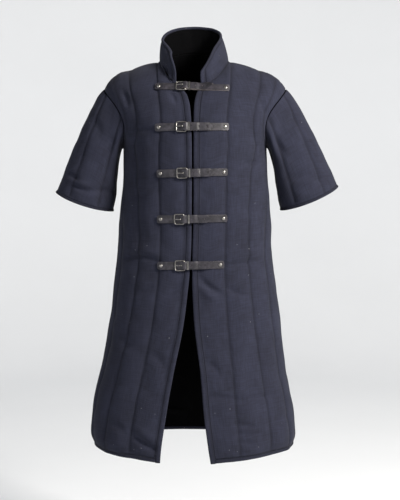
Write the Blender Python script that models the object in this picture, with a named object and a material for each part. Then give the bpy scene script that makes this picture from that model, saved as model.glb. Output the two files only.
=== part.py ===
"""Padded gambeson with elbow-length sleeves, a stand collar and five buckled straps.

Frame: metres, +Z up. The wearer faces -Y and their left arm is on +X. The origin lies between the
two points where the collar meets the shoulder seams, which is where the wearer holds the garment up.
Right and left are the wearer's own sides. An "own" distance is measured from the middle plane, and is
positive on the piece's own side.
"""

import math
from collections import namedtuple

import bmesh
import bpy
from mathutils import Matrix, Vector
from mathutils.bvhtree import BVHTree

# Heights are above the hem at the side seam, until the whole garment is lowered by ORIGIN_HEIGHT.
ORIGIN_HEIGHT = 0.996
ARMPIT_HEIGHT = 0.775

WALL = 0.007                # canvas, wadding and lining, quilted together
SEAM_GAP = 0.0003           # between neighbouring pieces
STITCH_DEPTH = 0.0025       # how deep a row of quilting pulls the outer cloth in
FRONT_BINDING = 0.013
EDGE_BINDING = 0.009        # hem and cuffs
COLLAR_BINDING = 0.008

ROUNDNESS = 2.2             # 2 is an ellipse, more is squarer
SIGN = {"right": -1.0, "left": 1.0}
FRONT = -1.0
BACK = 1.0

# One row for each ring of the body. "right" and "left" are half widths, "front" and "back" depths,
# and the two edges say where the front edges stand, as own distances.
Ring = namedtuple("Ring", "name height right left front back right_edge left_edge")
RINGS = (
    Ring("hem", 0.000, 0.262, 0.257, 0.166, 0.158, 0.0865, 0.0400),
    Ring("hem curl", 0.034, 0.273, 0.265, 0.168, 0.160, 0.0835, 0.0340),
    Ring("low skirt", 0.115, 0.265, 0.256, 0.164, 0.155, 0.0705, 0.0228),
    Ring("mid skirt", 0.215, 0.243, 0.236, 0.158, 0.147, 0.0520, 0.0140),
    Ring("high skirt", 0.320, 0.225, 0.225, 0.151, 0.137, 0.0300, 0.0003),
    Ring("last strap", 0.424, 0.212, 0.211, 0.146, 0.128, 0.0165, -0.0058),
    Ring("waist", 0.500, 0.203, 0.201, 0.143, 0.123, 0.0100, -0.0058),
    Ring("ribs", 0.600, 0.196, 0.197, 0.147, 0.125, 0.0078, -0.0032),
    Ring("chest", 0.690, 0.187, 0.189, 0.153, 0.133, 0.0073, -0.0027),
    Ring("armpit", ARMPIT_HEIGHT, 0.186, 0.186, 0.155, 0.137, 0.0073, -0.0027),
)

# Where the three long quilting lines of each front and half back stand, as shares of the way from
# the front edge, or from the middle of the back, to the side seam.
Quilting = namedtuple("Quilting", "height first second third")
QUILTING = {
    "right": (
        Quilting(0.000, 0.31, 0.60, 0.83),
        Quilting(0.500, 0.29, 0.51, 0.76),
        Quilting(0.690, 0.315, 0.571, 0.80),
        Quilting(ARMPIT_HEIGHT, 0.315, 0.61, 0.82),
    ),
    "left": (
        Quilting(0.000, 0.25, 0.54, 0.76),
        Quilting(0.500, 0.29, 0.52, 0.73),
        Quilting(0.690, 0.30, 0.55, 0.80),
        Quilting(ARMPIT_HEIGHT, 0.32, 0.64, 0.83),
    ),
    "back": (
        Quilting(0.000, 0.29, 0.56, 0.80),
        Quilting(ARMPIT_HEIGHT, 0.30, 0.58, 0.81),
    ),
}
CHANNEL_COLUMNS = (4, 3, 3, 3)
SHOULDER_STOPS = (0.0, 0.5, 0.78, 1.0)

# Rows of the body panels: heights below the armpit, and above it shares of the climb to the top edge.
LOWER_HEIGHTS = (0.0, EDGE_BINDING, 0.034, 0.09, 0.16, 0.24, 0.32, 0.40, 0.47, 0.54, 0.61, 0.69)
CLIMB = (0.0, 0.06, 0.14, 0.24, 0.35, 0.47, 0.60, 0.73, 0.86, 1.0)

HEM_DIP = {"right": 0.011, "left": 0.013}   # the front corners hang lower than the side seams
HEM_DIP_REACH = 0.15

# Shoulders and neck. The climb over the shoulder is an angle: 0 at the armpit, 90 degrees on the seam.
NECK_HALF = {"right": 0.0936, "left": 0.0885}
SHOULDER_TIP = 0.235
NECK_POINT_HEIGHT = 0.996
SHOULDER_DROP = 0.071
SHOULDER_STRAIGHT = 0.55    # the share of the drop that is an even slope, the rest is at the tip
RIDGE_MIDDLE = {FRONT: 0.990, BACK: 1.076}
SHOULDER_SPAN = 0.270       # half width that the chest ring widens to over the shoulder
FRONT_NECK_ANGLE = math.radians(44.2)
NAPE_ANGLE = math.radians(56.6)

# The top of the front edges, which roll open towards the collar.
EdgeRoll = namedtuple("EdgeRoll", "climb right left")
EDGE_ROLL = (
    EdgeRoll(0.00, 0.0073, -0.0027),
    EdgeRoll(0.47, 0.0085, -0.0022),
    EdgeRoll(0.63, 0.0131, -0.0010),
    EdgeRoll(0.81, 0.0380, 0.0040),
    EdgeRoll(1.00, 0.0453, 0.0148),
)

# The armhole seam: how far it stands outside the armpit's half width as the seam climbs.
Armhole = namedtuple("Armhole", "angle front back")
ARMHOLE = (
    Armhole(0, 0.0000, 0.0000),
    Armhole(6, -0.0060, -0.0030),
    Armhole(15, -0.0080, -0.0020),
    Armhole(25, 0.0020, 0.0080),
    Armhole(43, 0.0290, 0.0320),
    Armhole(63, 0.0445, 0.0460),
    Armhole(90, 0.0490, 0.0490),
)

# Collar top edge, a row for each place from the right front end round the back to the left one.
# "seam" counts the collar's columns, "side" and "forward" are world X and -Y.
CollarTop = namedtuple("CollarTop", "name seam side forward height")
COLLAR_TOP = (
    CollarTop("right end", 0.0, -0.0555, 0.112, 0.9668),
    CollarTop("right front", 1.7, -0.0605, 0.092, 0.9960),
    CollarTop("right", 3.3, -0.0700, 0.056, 1.0252),
    CollarTop("right side", 5.0, -0.0860, 0.000, 1.0574),
    CollarTop("back right", 7.0, -0.0620, -0.060, 1.0860),
    CollarTop("back", 9.0, -0.0060, -0.087, 1.0970),
    CollarTop("back left", 11.0, 0.0520, -0.062, 1.0885),
    CollarTop("left side", 13.0, 0.0700, -0.010, 1.0640),
    CollarTop("left", 14.7, 0.0500, 0.050, 1.0260),
    CollarTop("left front", 16.3, 0.0335, 0.092, 0.9860),
    CollarTop("left end", 18.0, 0.0192, 0.114, 0.9560),
)
COLLAR_ROWS = (0.0, 0.3, 0.6)

# Sleeves: the two corners of each cuff, and how the tube leaves the armhole.
Cuff = namedtuple("Cuff", "outer outer_height inner inner_height")
CUFF = {
    "right": Cuff(0.362, 0.659, 0.211, 0.609),
    "left": Cuff(0.3735, 0.674, 0.221, 0.611),
}
CUFF_HALF_DEPTH = 0.066
CUFF_DIP = {FRONT: 0.009, BACK: 0.003}
SLEEVE_PUFF = 0.36
UNDERARM_PUSH = 0.5
SLEEVE_START_PULL = 0.12
SLEEVE_END_PULL = 0.16
SLEEVE_ROWS = (0.0, 0.09, 0.2, 0.33, 0.48, 0.64, 0.8)

# Straps, counted from the collar down. Heights are at the two rivets, places are world X.
Strap = namedtuple("Strap", "number right_height left_height right_end buckle keeper tip left_end curl")
STRAPS = (
    Strap(1, 0.9200, 0.9160, -0.0985, -0.0335, -0.0135, 0.0440, 0.0860, 0.011),
    Strap(2, 0.8175, 0.8190, -0.0975, -0.0325, -0.0135, 0.0470, 0.0835, 0.0),
    Strap(3, 0.7045, 0.7085, -0.0930, -0.0310, -0.0120, 0.0486, 0.0805, 0.0),
    Strap(4, 0.5925, 0.5950, -0.0930, -0.0375, -0.0140, 0.0410, 0.0800, 0.0),
    Strap(5, 0.4775, 0.4805, -0.0925, -0.0360, -0.0165, 0.0440, 0.0725, 0.0),
)
STRAP_WIDTH = 0.0196
LEATHER = 0.0020
RIVET_INSET = 0.0095
RIVET_RADIUS = 0.0050
RIVET_HEIGHT = 0.0032
BUCKLE_WIDTH = 0.0266       # along the strap
BUCKLE_HEIGHT = 0.0270
BUCKLE_CORNER = 0.0032
BUCKLE_WIRE = 0.0015        # radius of the wire, as is the prong's
PRONG_WIRE = 0.0011
KEEPER_WALL = 0.0007
KEEPER_WIDTH = 0.0030
CHAPE_FALL = 0.0060         # from the top of the fold down on to the lower layer
CHAPE_RETURN = 0.0250       # from the hinge bar to the folded end
SECTION_STEP = 0.0055

FINISHES = {
    "quilted_canvas": ((0.040, 0.042, 0.060, 1.0), 0.0, 0.92),
    "binding_canvas": ((0.044, 0.046, 0.066, 1.0), 0.0, 0.90),
    "black_leather": ((0.030, 0.029, 0.032, 1.0), 0.0, 0.48),
    "nickel_plate": ((0.640, 0.630, 0.610, 1.0), 1.0, 0.24),
}


def smooth(knots, values, at):
    """Smooth curve through the values, by cubic Hermite spans between the knots."""
    last = len(knots) - 1
    span = 0
    while span < last - 1 and at > knots[span + 1]:
        span += 1

    def slope(index):
        low = max(index - 1, 0)
        high = min(index + 1, last)
        return (values[high] - values[low]) / (knots[high] - knots[low])

    width = knots[span + 1] - knots[span]
    share = min(max((at - knots[span]) / width, 0.0), 1.0)
    start = (1 + 2 * share) * (1 - share) ** 2
    end = share * share * (3 - 2 * share)
    leave = share * (1 - share) ** 2 * width * slope(span)
    arrive = share * share * (share - 1) * width * slope(span + 1)
    return start * values[span] + end * values[span + 1] + leave + arrive


def read(table, key, name, at):
    """Value of one named column of a table, smooth between its rows."""
    return smooth([getattr(row, key) for row in table], [getattr(row, name) for row in table], at)


def spread(stops, counts):
    """Values from the first stop to the last, with a count of equal steps between each two."""
    values = []
    for low, high, count in zip(stops, stops[1:], counts):
        values += [low + (high - low) * step / count for step in range(count)]
    return values + [stops[-1]]


def lerp(low, high, share):
    return low + (high - low) * share


# ---------------------------------------------------------------- the body's form


def ring_angle(own, half):
    """Angle round a ring, from its middle, of a point at an own distance."""
    share = min(abs(own / half), 1.0) ** (ROUNDNESS / 2)
    return math.copysign(math.asin(share), own)


def ring_point(side, facing, angle, height):
    """Point of the body below the armpit."""
    half = read(RINGS, "height", side, height)
    depth = read(RINGS, "height", "front" if facing == FRONT else "back", height)
    power = 2 / ROUNDNESS
    own = math.copysign(half * abs(math.sin(angle)) ** power, angle)
    across = depth * abs(math.cos(angle)) ** power
    return Vector((SIGN[side] * own, facing * across, height))


class Arc:
    """A quarter ring of the body, from an own distance round to the side seam."""

    STEPS = 60

    def __init__(self, side, facing, height, start_own):
        self.place = (side, facing, height)
        first = ring_angle(start_own, read(RINGS, "height", side, height))
        self.angles = [lerp(first, math.pi / 2, step / self.STEPS) for step in range(self.STEPS + 1)]
        points = [self.point(angle) for angle in self.angles]
        self.lengths = [0.0]
        for before, after in zip(points, points[1:]):
            self.lengths.append(self.lengths[-1] + (after - before).length)
        self.length = self.lengths[-1]

    def point(self, angle):
        side, facing, height = self.place
        return ring_point(side, facing, angle, height)

    def at(self, share):
        """Point at a share of the way along."""
        target = share * self.length
        step = max(index for index in range(self.STEPS) if self.lengths[index] <= target + 1e-9)
        part = (target - self.lengths[step]) / (self.lengths[step + 1] - self.lengths[step])
        return self.point(lerp(self.angles[step], self.angles[step + 1], min(part, 1.0)))


def ridge_height(side, facing, own):
    """Height of the shoulder line over an own distance, carried on over the neck."""
    neck = NECK_HALF[side]
    if abs(own) >= neck:
        share = (abs(own) - neck) / (SHOULDER_TIP - neck)
        drop = SHOULDER_STRAIGHT * share + (1 - SHOULDER_STRAIGHT) * share ** 7
        return NECK_POINT_HEIGHT - SHOULDER_DROP * drop
    return lerp(RIDGE_MIDDLE[facing], NECK_POINT_HEIGHT, (own / neck) ** 2)


def shoulder_point(side, facing, own, climb):
    """Point of the body above the armpit, at an own distance and a climb angle."""
    armpit = RINGS[-1]
    widening = math.sin(min(math.pi / 2, 1.15 * climb)) ** 1.3
    half = lerp(getattr(armpit, side), SHOULDER_SPAN, widening)
    depth = (armpit.front if facing == FRONT else armpit.back) * math.cos(climb)
    across = depth * max(0.0, 1 - abs(own / half) ** ROUNDNESS) ** (1 / ROUNDNESS)
    height = lerp(ARMPIT_HEIGHT, ridge_height(side, facing, own), math.sin(climb))
    return Vector((SIGN[side] * own, facing * across, height))


def armhole_own(side, facing, climb):
    name = "front" if facing == FRONT else "back"
    return getattr(RINGS[-1], side) + read(ARMHOLE, "angle", name, math.degrees(climb))


def column_shares(table, height, binding):
    """Shares of the panel's columns at a height, with the binding's column first if it has one."""
    lines = [read(table, "height", name, height) for name in ("first", "second", "third")]
    shares = spread([binding] + lines + [1.0], CHANNEL_COLUMNS)
    return [0.0] + shares if binding else shares


def top_edge(side, facing):
    """Own distance and climb angle of each column's top end, on the neckline and the shoulder seam."""
    neck = NECK_HALF[side]
    if facing == FRONT:
        corner = getattr(EDGE_ROLL[-1], side)
        bound = math.asin(FRONT_BINDING / (neck - corner))
        turns = [0.0] + spread([bound, math.pi / 2], CHANNEL_COLUMNS[:1])
        low = FRONT_NECK_ANGLE
    else:
        corner = 0.0
        turns = spread([0.0, math.pi / 2], CHANNEL_COLUMNS[:1])
        low = NAPE_ANGLE
    edge = []
    for turn in turns[:-1]:
        own = lerp(corner, neck, math.sin(turn))
        edge.append((own, lerp(math.pi / 2, low, math.cos(turn))))
    for share in spread(SHOULDER_STOPS, CHANNEL_COLUMNS[1:]):
        edge.append((lerp(neck, SHOULDER_TIP, share), math.pi / 2))
    return edge


def panel_rows(side, facing):
    """Rows of points of a front, or of half a back, from the hem to the neck and shoulder."""
    table = QUILTING["back" if facing == BACK else side]
    binding = FRONT_BINDING if facing == FRONT else 0.0
    rows = []
    for height in LOWER_HEIGHTS + (ARMPIT_HEIGHT,):
        start = read(RINGS, "height", side + "_edge", height) if facing == FRONT else 0.0
        arc = Arc(side, facing, height, start)
        shares = column_shares(table, height, binding / arc.length)
        row = [arc.at(share) for share in shares]
        if facing == FRONT:
            fade = max(0.0, 1 - height / HEM_DIP_REACH)
            for point, share in zip(row, shares):
                point.z -= HEM_DIP[side] * fade * (1 - share) ** 2
        rows.append(row)

    bottom = [SIGN[side] * point.x for point in rows[-1]]
    top = top_edge(side, facing)
    for step in CLIMB[1:]:
        outer_climb = step * math.pi / 2
        inner = read(EDGE_ROLL, "climb", side, step) if facing == FRONT else 0.0
        inner_bend = inner - lerp(bottom[0], top[0][0], step)
        outer_bend = armhole_own(side, facing, outer_climb) - lerp(bottom[-1], top[-1][0], step)
        row = []
        for share, low, (high, climb) in zip(shares, bottom, top):
            own = lerp(low, high, step) + (1 - share) * inner_bend + share * outer_bend
            row.append(shoulder_point(side, facing, own, step * climb))
        rows.append(row)
    return rows


# ---------------------------------------------------------------- sleeves and collar


def sleeve_rows(side, seam):
    """Rings of points of a sleeve, from its armhole seam to the cuff.

    The seam's points start at the shoulder, go down the front to the armpit and up the back.
    """
    cuff = CUFF[side]
    sign = SIGN[side]
    outer = Vector((sign * cuff.outer, 0, cuff.outer_height))
    inner = Vector((sign * cuff.inner, 0, cuff.inner_height))
    middle = (outer + inner) / 2
    centre = sum(seam, Vector()) / len(seam)
    along = (middle - centre).normalized()
    ends = []
    for index in range(len(seam)):
        turn = 2 * math.pi * index / len(seam)
        facing = FRONT if math.sin(turn) > 0 else BACK
        drop = CUFF_DIP[facing] * abs(math.sin(turn)) ** 1.5
        swing = Vector((0, -CUFF_HALF_DEPTH * math.sin(turn), -drop))
        ends.append(middle + (outer - middle) * math.cos(turn) + swing)

    def ring(share):
        points = []
        for start, end in zip(seam, ends):
            reach = (end - start).length
            radial = (start - centre).normalized()
            upper = sign * radial.x + radial.z
            push = SLEEVE_PUFF * max(0.0, upper) * radial
            push.x += sign * UNDERARM_PUSH * max(0.0, -upper)
            leave = ((end - start) / reach + push).normalized() * SLEEVE_START_PULL
            arrive = (along + (end - start) / reach).normalized() * SLEEVE_END_PULL
            point = (1 + 2 * share) * (1 - share) ** 2 * start
            point = point + share * share * (3 - 2 * share) * end
            point = point + share * (1 - share) ** 2 * leave
            points.append(point + share * share * (share - 1) * arrive)
        return points

    length = sum((end - start).length for start, end in zip(seam, ends)) / len(seam)
    return [ring(share) for share in SLEEVE_ROWS + (1 - EDGE_BINDING / length, 1.0)]


def collar_rows(base):
    """Rows of points of the collar, from the neckline seam to its top edge."""
    tops = []
    for seam in range(len(base)):
        side = read(COLLAR_TOP, "seam", "side", seam)
        forward = read(COLLAR_TOP, "seam", "forward", seam)
        tops.append(Vector((side, -forward, read(COLLAR_TOP, "seam", "height", seam))))
    rows = [[low.lerp(top, share) for low, top in zip(base, tops)] for share in COLLAR_ROWS]
    rows.append([top.lerp(low, COLLAR_BINDING / (top - low).length) for low, top in zip(base, tops)])
    rows.append(tops)
    return rows


# ---------------------------------------------------------------- the cloth as one net of cells


class Net:
    """The garment's outer surface as cells that share their corner points along every seam."""

    def __init__(self):
        self.points = []
        self.places = {}
        self.stitched = set()
        self.cells = {}

    def point(self, place):
        """Number of the point at a place, the same number for pieces that meet there."""
        key = tuple(round(value, 5) for value in place)
        if key not in self.places:
            self.places[key] = len(self.points)
            self.points.append(place.copy())
        return self.places[key]

    def weave(self, rows, name_of, turned=False, round_shape=False):
        """Add the cells between rows of places. name_of says whose piece the cell at (row, column) is."""
        numbers = [[self.point(place) for place in row] for row in rows]
        columns = len(rows[0]) if round_shape else len(rows[0]) - 1
        for row in range(len(rows) - 1):
            for column in range(columns):
                after = (column + 1) % len(rows[0])
                cell = [numbers[row][column], numbers[row][after]]
                cell += [numbers[row + 1][after], numbers[row + 1][column]]
                if turned:
                    cell.reverse()
                self.cells.setdefault(name_of(row, column), []).append(cell)
        return numbers

    def stitch(self, numbers):
        self.stitched.update(numbers)

    def normals(self):
        totals = [Vector() for _ in self.points]
        for cells in self.cells.values():
            for cell in cells:
                a, b, c, d = (self.points[number] for number in cell)
                facing = (c - a).cross(d - b)
                for number in cell:
                    totals[number] += facing
        return [total.normalized() for total in totals]

    def build(self, finish_of):
        """Make each piece a closed wall, with half the seam gap taken off along its border."""
        normals = self.normals()
        for name, cells in self.cells.items():
            pull = self.border_pull(cells, normals)
            numbers = sorted({number for cell in cells for number in cell})
            shape = bmesh.new()
            outer = {}
            inner = {}
            for number in numbers:
                place = self.points[number] + pull.get(number, Vector())
                sink = STITCH_DEPTH if number in self.stitched else 0.0
                outer[number] = shape.verts.new(lowered(place - normals[number] * sink))
                inner[number] = shape.verts.new(lowered(place - normals[number] * WALL))
            for cell in cells:
                shape.faces.new([outer[number] for number in cell])
                shape.faces.new([inner[number] for number in reversed(cell)])
            for start, end in border(cells):
                rim = [outer[end], outer[start], inner[start], inner[end]]
                if start < end:
                    rim = rim[1:] + rim[:1]
                shape.faces.new(rim[:3])
                shape.faces.new([rim[2], rim[3], rim[0]])
            keep(name, shape, finish_of(name), smooth_angle=50)

    def border_pull(self, cells, normals):
        """Small move of each border point that takes the piece clear of its neighbours."""
        inward = {}
        for start, end in border(cells):
            run = (self.points[end] - self.points[start]).normalized()
            for number in (start, end):
                inward.setdefault(number, []).append(normals[number].cross(run).normalized())
        pull = {}
        for number, ways in inward.items():
            total = sum(ways, Vector())
            share = 1 + ways[0].dot(ways[-1]) if len(ways) > 1 else 1.0
            pull[number] = total * (SEAM_GAP / 2) / max(share, 0.4)
        return pull


def border(cells):
    """Directed edges that only one cell of the piece has."""
    edges = {(cell[index], cell[(index + 1) % 4]) for cell in cells for index in range(4)}
    return sorted(edge for edge in edges if (edge[1], edge[0]) not in edges)


def lowered(place):
    return Vector((place.x, place.y, place.z - ORIGIN_HEIGHT))


# ---------------------------------------------------------------- objects and finishes


def finish(name):
    """The Principled material of a finish, made once."""
    if name in bpy.data.materials:
        return bpy.data.materials[name]
    colour, metallic, roughness = FINISHES[name]
    material = bpy.data.materials.new(name)
    material.use_nodes = True
    shader = material.node_tree.nodes["Principled BSDF"]
    shader.inputs["Base Color"].default_value = colour
    shader.inputs["Metallic"].default_value = metallic
    shader.inputs["Roughness"].default_value = roughness
    return material


def keep(name, shape, finish_name, smooth_angle=40, place=None):
    """Turn a bmesh into a named object with its finish."""
    mesh = bpy.data.meshes.new(name)
    shape.to_mesh(mesh)
    shape.free()
    mesh.shade_smooth()
    mesh.set_sharp_from_angle(angle=math.radians(smooth_angle))
    mesh.materials.append(finish(finish_name))
    made = bpy.data.objects.new(name, mesh)
    bpy.context.scene.collection.objects.link(made)
    if place is not None:
        made.matrix_world = place
    return made


# ---------------------------------------------------------------- straps and buckles


def upper_hull(points):
    """The (place, depth) points that a tight band touches, where the smallest depth is outermost."""
    hull = []
    for place, depth in points:
        while len(hull) > 1:
            (a, low), (b, middle) = hull[-2:]
            if (middle - low) * (place - a) < (depth - low) * (b - a):
                break
            hull.pop()
        hull.append((place, depth))
    return hull


def along_line(points, place):
    """Depth at a place between (place, depth) points, in straight spans."""
    span = 0
    while span < len(points) - 2 and place > points[span + 1][0]:
        span += 1
    (a, low), (b, high) = points[span:span + 2]
    return lerp(low, high, (place - a) / (b - a))


class StrapLine:
    """The line over the closed fronts that a tight strap follows."""

    LOOKS = 48
    REACH = 0.012
    EDGES = (-0.0095, 0.0095)

    def __init__(self, strap, fronts):
        self.strap = strap
        self.sides = [self.look(fronts, rise) for rise in self.EDGES]
        self.middle = self.look(fronts, 0.0)

    def height(self, place):
        share = (place - self.strap.right_end) / (self.strap.left_end - self.strap.right_end)
        return lerp(self.strap.right_height, self.strap.left_height, share)

    def look(self, fronts, rise):
        """The fronts' outer face along the line, at a rise above it, leaving out the opening."""
        found = []
        for step in range(self.LOOKS + 1):
            place = lerp(self.strap.right_end, self.strap.left_end, step / self.LOOKS)
            start = lowered(Vector((place, -1.0, self.height(place) + rise)))
            hit = fronts.ray_cast(start, Vector((0, 1, 0)))[0]
            if hit is not None:
                found.append((place, hit.y))
        return upper_hull(found)

    def depth(self, place):
        level = sum(along_line(side, place) for side in self.sides) / 2
        return min(level, along_line(self.middle, place))

    def frame(self, place, lift):
        """Matrix at a place on the line: X along it, Y across it, Z out of the cloth."""
        reach = self.REACH
        low, high = (along_line(side, place) for side in self.sides)
        slope = (self.depth(place + reach) - self.depth(place - reach)) / (2 * reach)
        tilt = (self.height(place + reach) - self.height(place - reach)) / (2 * reach)
        along = Vector((1, slope, tilt)).normalized()
        across = Vector((0, (high - low) / (self.EDGES[1] - self.EDGES[0]), 1))
        across = (across - along * across.dot(along)).normalized()
        out = along.cross(across)
        origin = lowered(Vector((place, self.depth(place), self.height(place)))) + out * lift
        turned = Matrix((along, across, out)).transposed()
        return Matrix.Translation(origin) @ turned.to_4x4()


def band(name, sections, finish_name):
    """Closed leather band through cross-sections of four corners each."""
    shape = bmesh.new()
    loops = [[shape.verts.new(corner) for corner in corners] for corners in sections]
    for before, after in zip(loops, loops[1:]):
        for index in range(4):
            turn = (index + 1) % 4
            shape.faces.new([before[index], after[index], after[turn], before[turn]])
    shape.faces.new(loops[0])
    shape.faces.new(list(reversed(loops[-1])))
    bmesh.ops.recalc_face_normals(shape, faces=shape.faces)
    return keep(name, shape, finish_name)


def section(line, place, lift, half_width):
    """Cross-section of flat leather that lies at a lift from the cloth."""
    frame = line.frame(place, lift)
    corners = ((-1, -1), (1, -1), (1, 1), (-1, 1))
    return [frame @ Vector((0, half_width * a, LEATHER / 2 * b)) for a, b in corners]


def rounded_half_width(distance):
    """Half width of a strap near its round end."""
    radius = STRAP_WIDTH / 2
    if distance >= radius:
        return radius
    return max(0.35 * radius, math.sqrt(radius ** 2 - (radius - distance) ** 2))


def pointed_half_width(distance):
    """Half width of a strap near its pointed tip."""
    radius = STRAP_WIDTH / 2
    return min(radius, 0.18 * radius + 0.82 * radius * distance / Fastening.TIP_LENGTH)


def eased(lifts, place):
    """Lift at a place between (place, lift) stops, level before the first and after the last."""
    (before, low), rest = lifts[0], lifts[1:]
    for after, high in rest:
        if place <= after:
            share = max(0.0, (place - before) / (after - before))
            return lerp(low, high, (1 - math.cos(math.pi * share)) / 2)
        before, low = after, high
    return low


class Fastening:
    """One strap, chape, buckle, prong, keeper and two rivets, laid on their line.

    The tongue strap is riveted on the right front. It runs under the buckle's outer bar, over the
    hinge bar that the chape is folded round, through the keeper, and its tip lies on the chape.
    """

    CHAPE_HALF = STRAP_WIDTH / 2 - 0.0008
    TIP_LENGTH = 0.012

    def __init__(self, strap, fronts):
        self.strap = strap
        self.line = StrapLine(strap, fronts)
        self.hinge = strap.buckle + BUCKLE_WIDTH / 2 - BUCKLE_WIRE
        self.bar = strap.buckle - BUCKLE_WIDTH / 2 + BUCKLE_WIRE
        layer = LEATHER + SEAM_GAP
        fold = BUCKLE_WIRE + SEAM_GAP + LEATHER / 2
        self.flat = 2 * SEAM_GAP + LEATHER / 2
        self.chape_low = self.flat + KEEPER_WALL
        self.wire = self.chape_low + fold
        self.fold = fold
        on_chape = self.chape_low + layer
        fall = self.hinge + CHAPE_FALL
        over = self.hinge + CHAPE_RETURN
        self.lower_lifts = (
            (strap.keeper + 0.006, self.chape_low),
            (strap.keeper + 0.020, self.flat),
        )
        self.return_lifts = ((self.hinge, self.wire + fold), (fall, on_chape))
        self.strap_lifts = (
            (self.bar + 0.002, self.flat + 0.0004),
            (self.hinge, self.wire + fold + layer + 2 * SEAM_GAP),
            (fall, on_chape + layer),
            (over + 0.001, on_chape + layer),
            (over + 0.008, on_chape),
        )

    def build(self):
        self.build_strap()
        self.build_chape()
        self.build_buckle()
        self.build_prong()
        self.build_keeper()
        self.build_rivets()

    def tongue_lift(self, place):
        """Lift of the tongue strap, with its tip curled away if it is."""
        free = (place - self.strap.tip) / 0.030 + 1
        return eased(self.strap_lifts, place) + self.strap.curl * max(0.0, free) ** 1.5

    def places(self, start, knees, end):
        """Places of cross-sections from start to end, with one at each knee."""
        stops = [start] + [knee for knee in knees if start < knee < end] + [end]
        found = [start]
        for low, high in zip(stops, stops[1:]):
            count = max(1, round((high - low) / SECTION_STEP))
            found += [lerp(low, high, step / count) for step in range(1, count + 1)]
        return found

    def build_strap(self):
        strap = self.strap
        start = strap.right_end
        knees = [start + 0.0015, start + 0.005, start + 0.010]
        knees += [place for place, _ in self.strap_lifts]
        knees += [self.hinge - 0.006, self.hinge - 0.003]
        knees += [self.hinge + CHAPE_FALL * share for share in (0.25, 0.5, 0.75)]
        knees.append(strap.tip - self.TIP_LENGTH)
        sections = []
        for place in self.places(start, sorted(knees), strap.tip):
            half = min(rounded_half_width(place - start), pointed_half_width(strap.tip - place))
            sections.append(section(self.line, place, self.tongue_lift(place), half))
        band(f"strap_{strap.number}", sections, "black_leather")

    def build_chape(self):
        """From its rivet to the hinge bar, round the bar, and back between itself and the strap."""
        start = self.strap.left_end
        knees = [start - 0.010, start - 0.005, start - 0.0015]
        knees += [place for place, _ in self.lower_lifts]
        sections = []
        for place in reversed(self.places(self.hinge + 0.002, sorted(knees), start)):
            half = min(self.CHAPE_HALF, rounded_half_width(start - place))
            sections.append(section(self.line, place, eased(self.lower_lifts, place), half))
        frame = self.line.frame(self.strap.buckle, self.wire)
        for turn in (0, 30, 60, 90, 120, 150, 180):
            sections.append(self.fold_section(frame, math.radians(turn)))
        knees = [self.hinge + CHAPE_FALL * share for share in (0.5, 0.75, 1.0)]
        for place in self.places(self.hinge + CHAPE_FALL * 0.25, knees, self.hinge + CHAPE_RETURN):
            lift = eased(self.return_lifts, place)
            sections.append(section(self.line, place, lift, self.CHAPE_HALF)[::-1])
        band(f"chape_{self.strap.number}", sections, "black_leather")

    def fold_section(self, frame, angle):
        """Cross-section of the chape where it turns round the hinge bar."""
        outward = Vector((-math.sin(angle), 0, -math.cos(angle)))
        inner = outward * (self.fold - LEATHER / 2)
        outer = outward * (self.fold + LEATHER / 2)
        across = Vector((0, self.CHAPE_HALF, 0))
        corners = (outer - across, outer + across, inner + across, inner - across)
        bar = Vector((self.hinge - self.strap.buckle, 0, 0))
        return [frame @ (bar + corner) for corner in corners]

    def build_buckle(self):
        """Rounded frame of wire, lying flat over the chape's lower layer."""
        frame = self.line.frame(self.strap.buckle, self.wire)
        half_long = BUCKLE_WIDTH / 2 - BUCKLE_WIRE
        half_high = BUCKLE_HEIGHT / 2 - BUCKLE_WIRE
        path = []
        for corner_x, corner_y, start in ((1, 1, 0), (-1, 1, 90), (-1, -1, 180), (1, -1, 270)):
            middle_x = corner_x * (half_long - BUCKLE_CORNER)
            middle_y = corner_y * (half_high - BUCKLE_CORNER)
            for turn in (0, 30, 60, 90):
                angle = math.radians(start + turn)
                across = middle_x + BUCKLE_CORNER * math.cos(angle)
                path.append(Vector((across, middle_y + BUCKLE_CORNER * math.sin(angle), 0)))
        wire_loop(f"buckle_{self.strap.number}", path, BUCKLE_WIRE, frame)

    def build_prong(self):
        """Round pin that lies over the strap, from above the hinge to the outer bar."""
        frame = self.line.frame(self.strap.buckle, 0.0)
        clear = 2 * SEAM_GAP + PRONG_WIRE
        root_lift = self.wire + self.fold + SEAM_GAP + 1.5 * LEATHER + clear
        root = Vector((self.hinge - self.strap.buckle - 0.001, 0, root_lift))
        rest = Vector((self.bar - self.strap.buckle - 0.0005, 0, self.wire + BUCKLE_WIRE + clear))
        shape = bmesh.new()
        run = rest - root
        bmesh.ops.create_cone(
            shape, cap_ends=True, segments=8, depth=run.length,
            radius1=PRONG_WIRE, radius2=0.75 * PRONG_WIRE,
        )
        turn = run.to_track_quat("Z", "Y").to_matrix().to_4x4()
        shape.transform(Matrix.Translation((root + rest) / 2) @ turn)
        keep(f"prong_{self.strap.number}", shape, "nickel_plate", place=frame)

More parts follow.
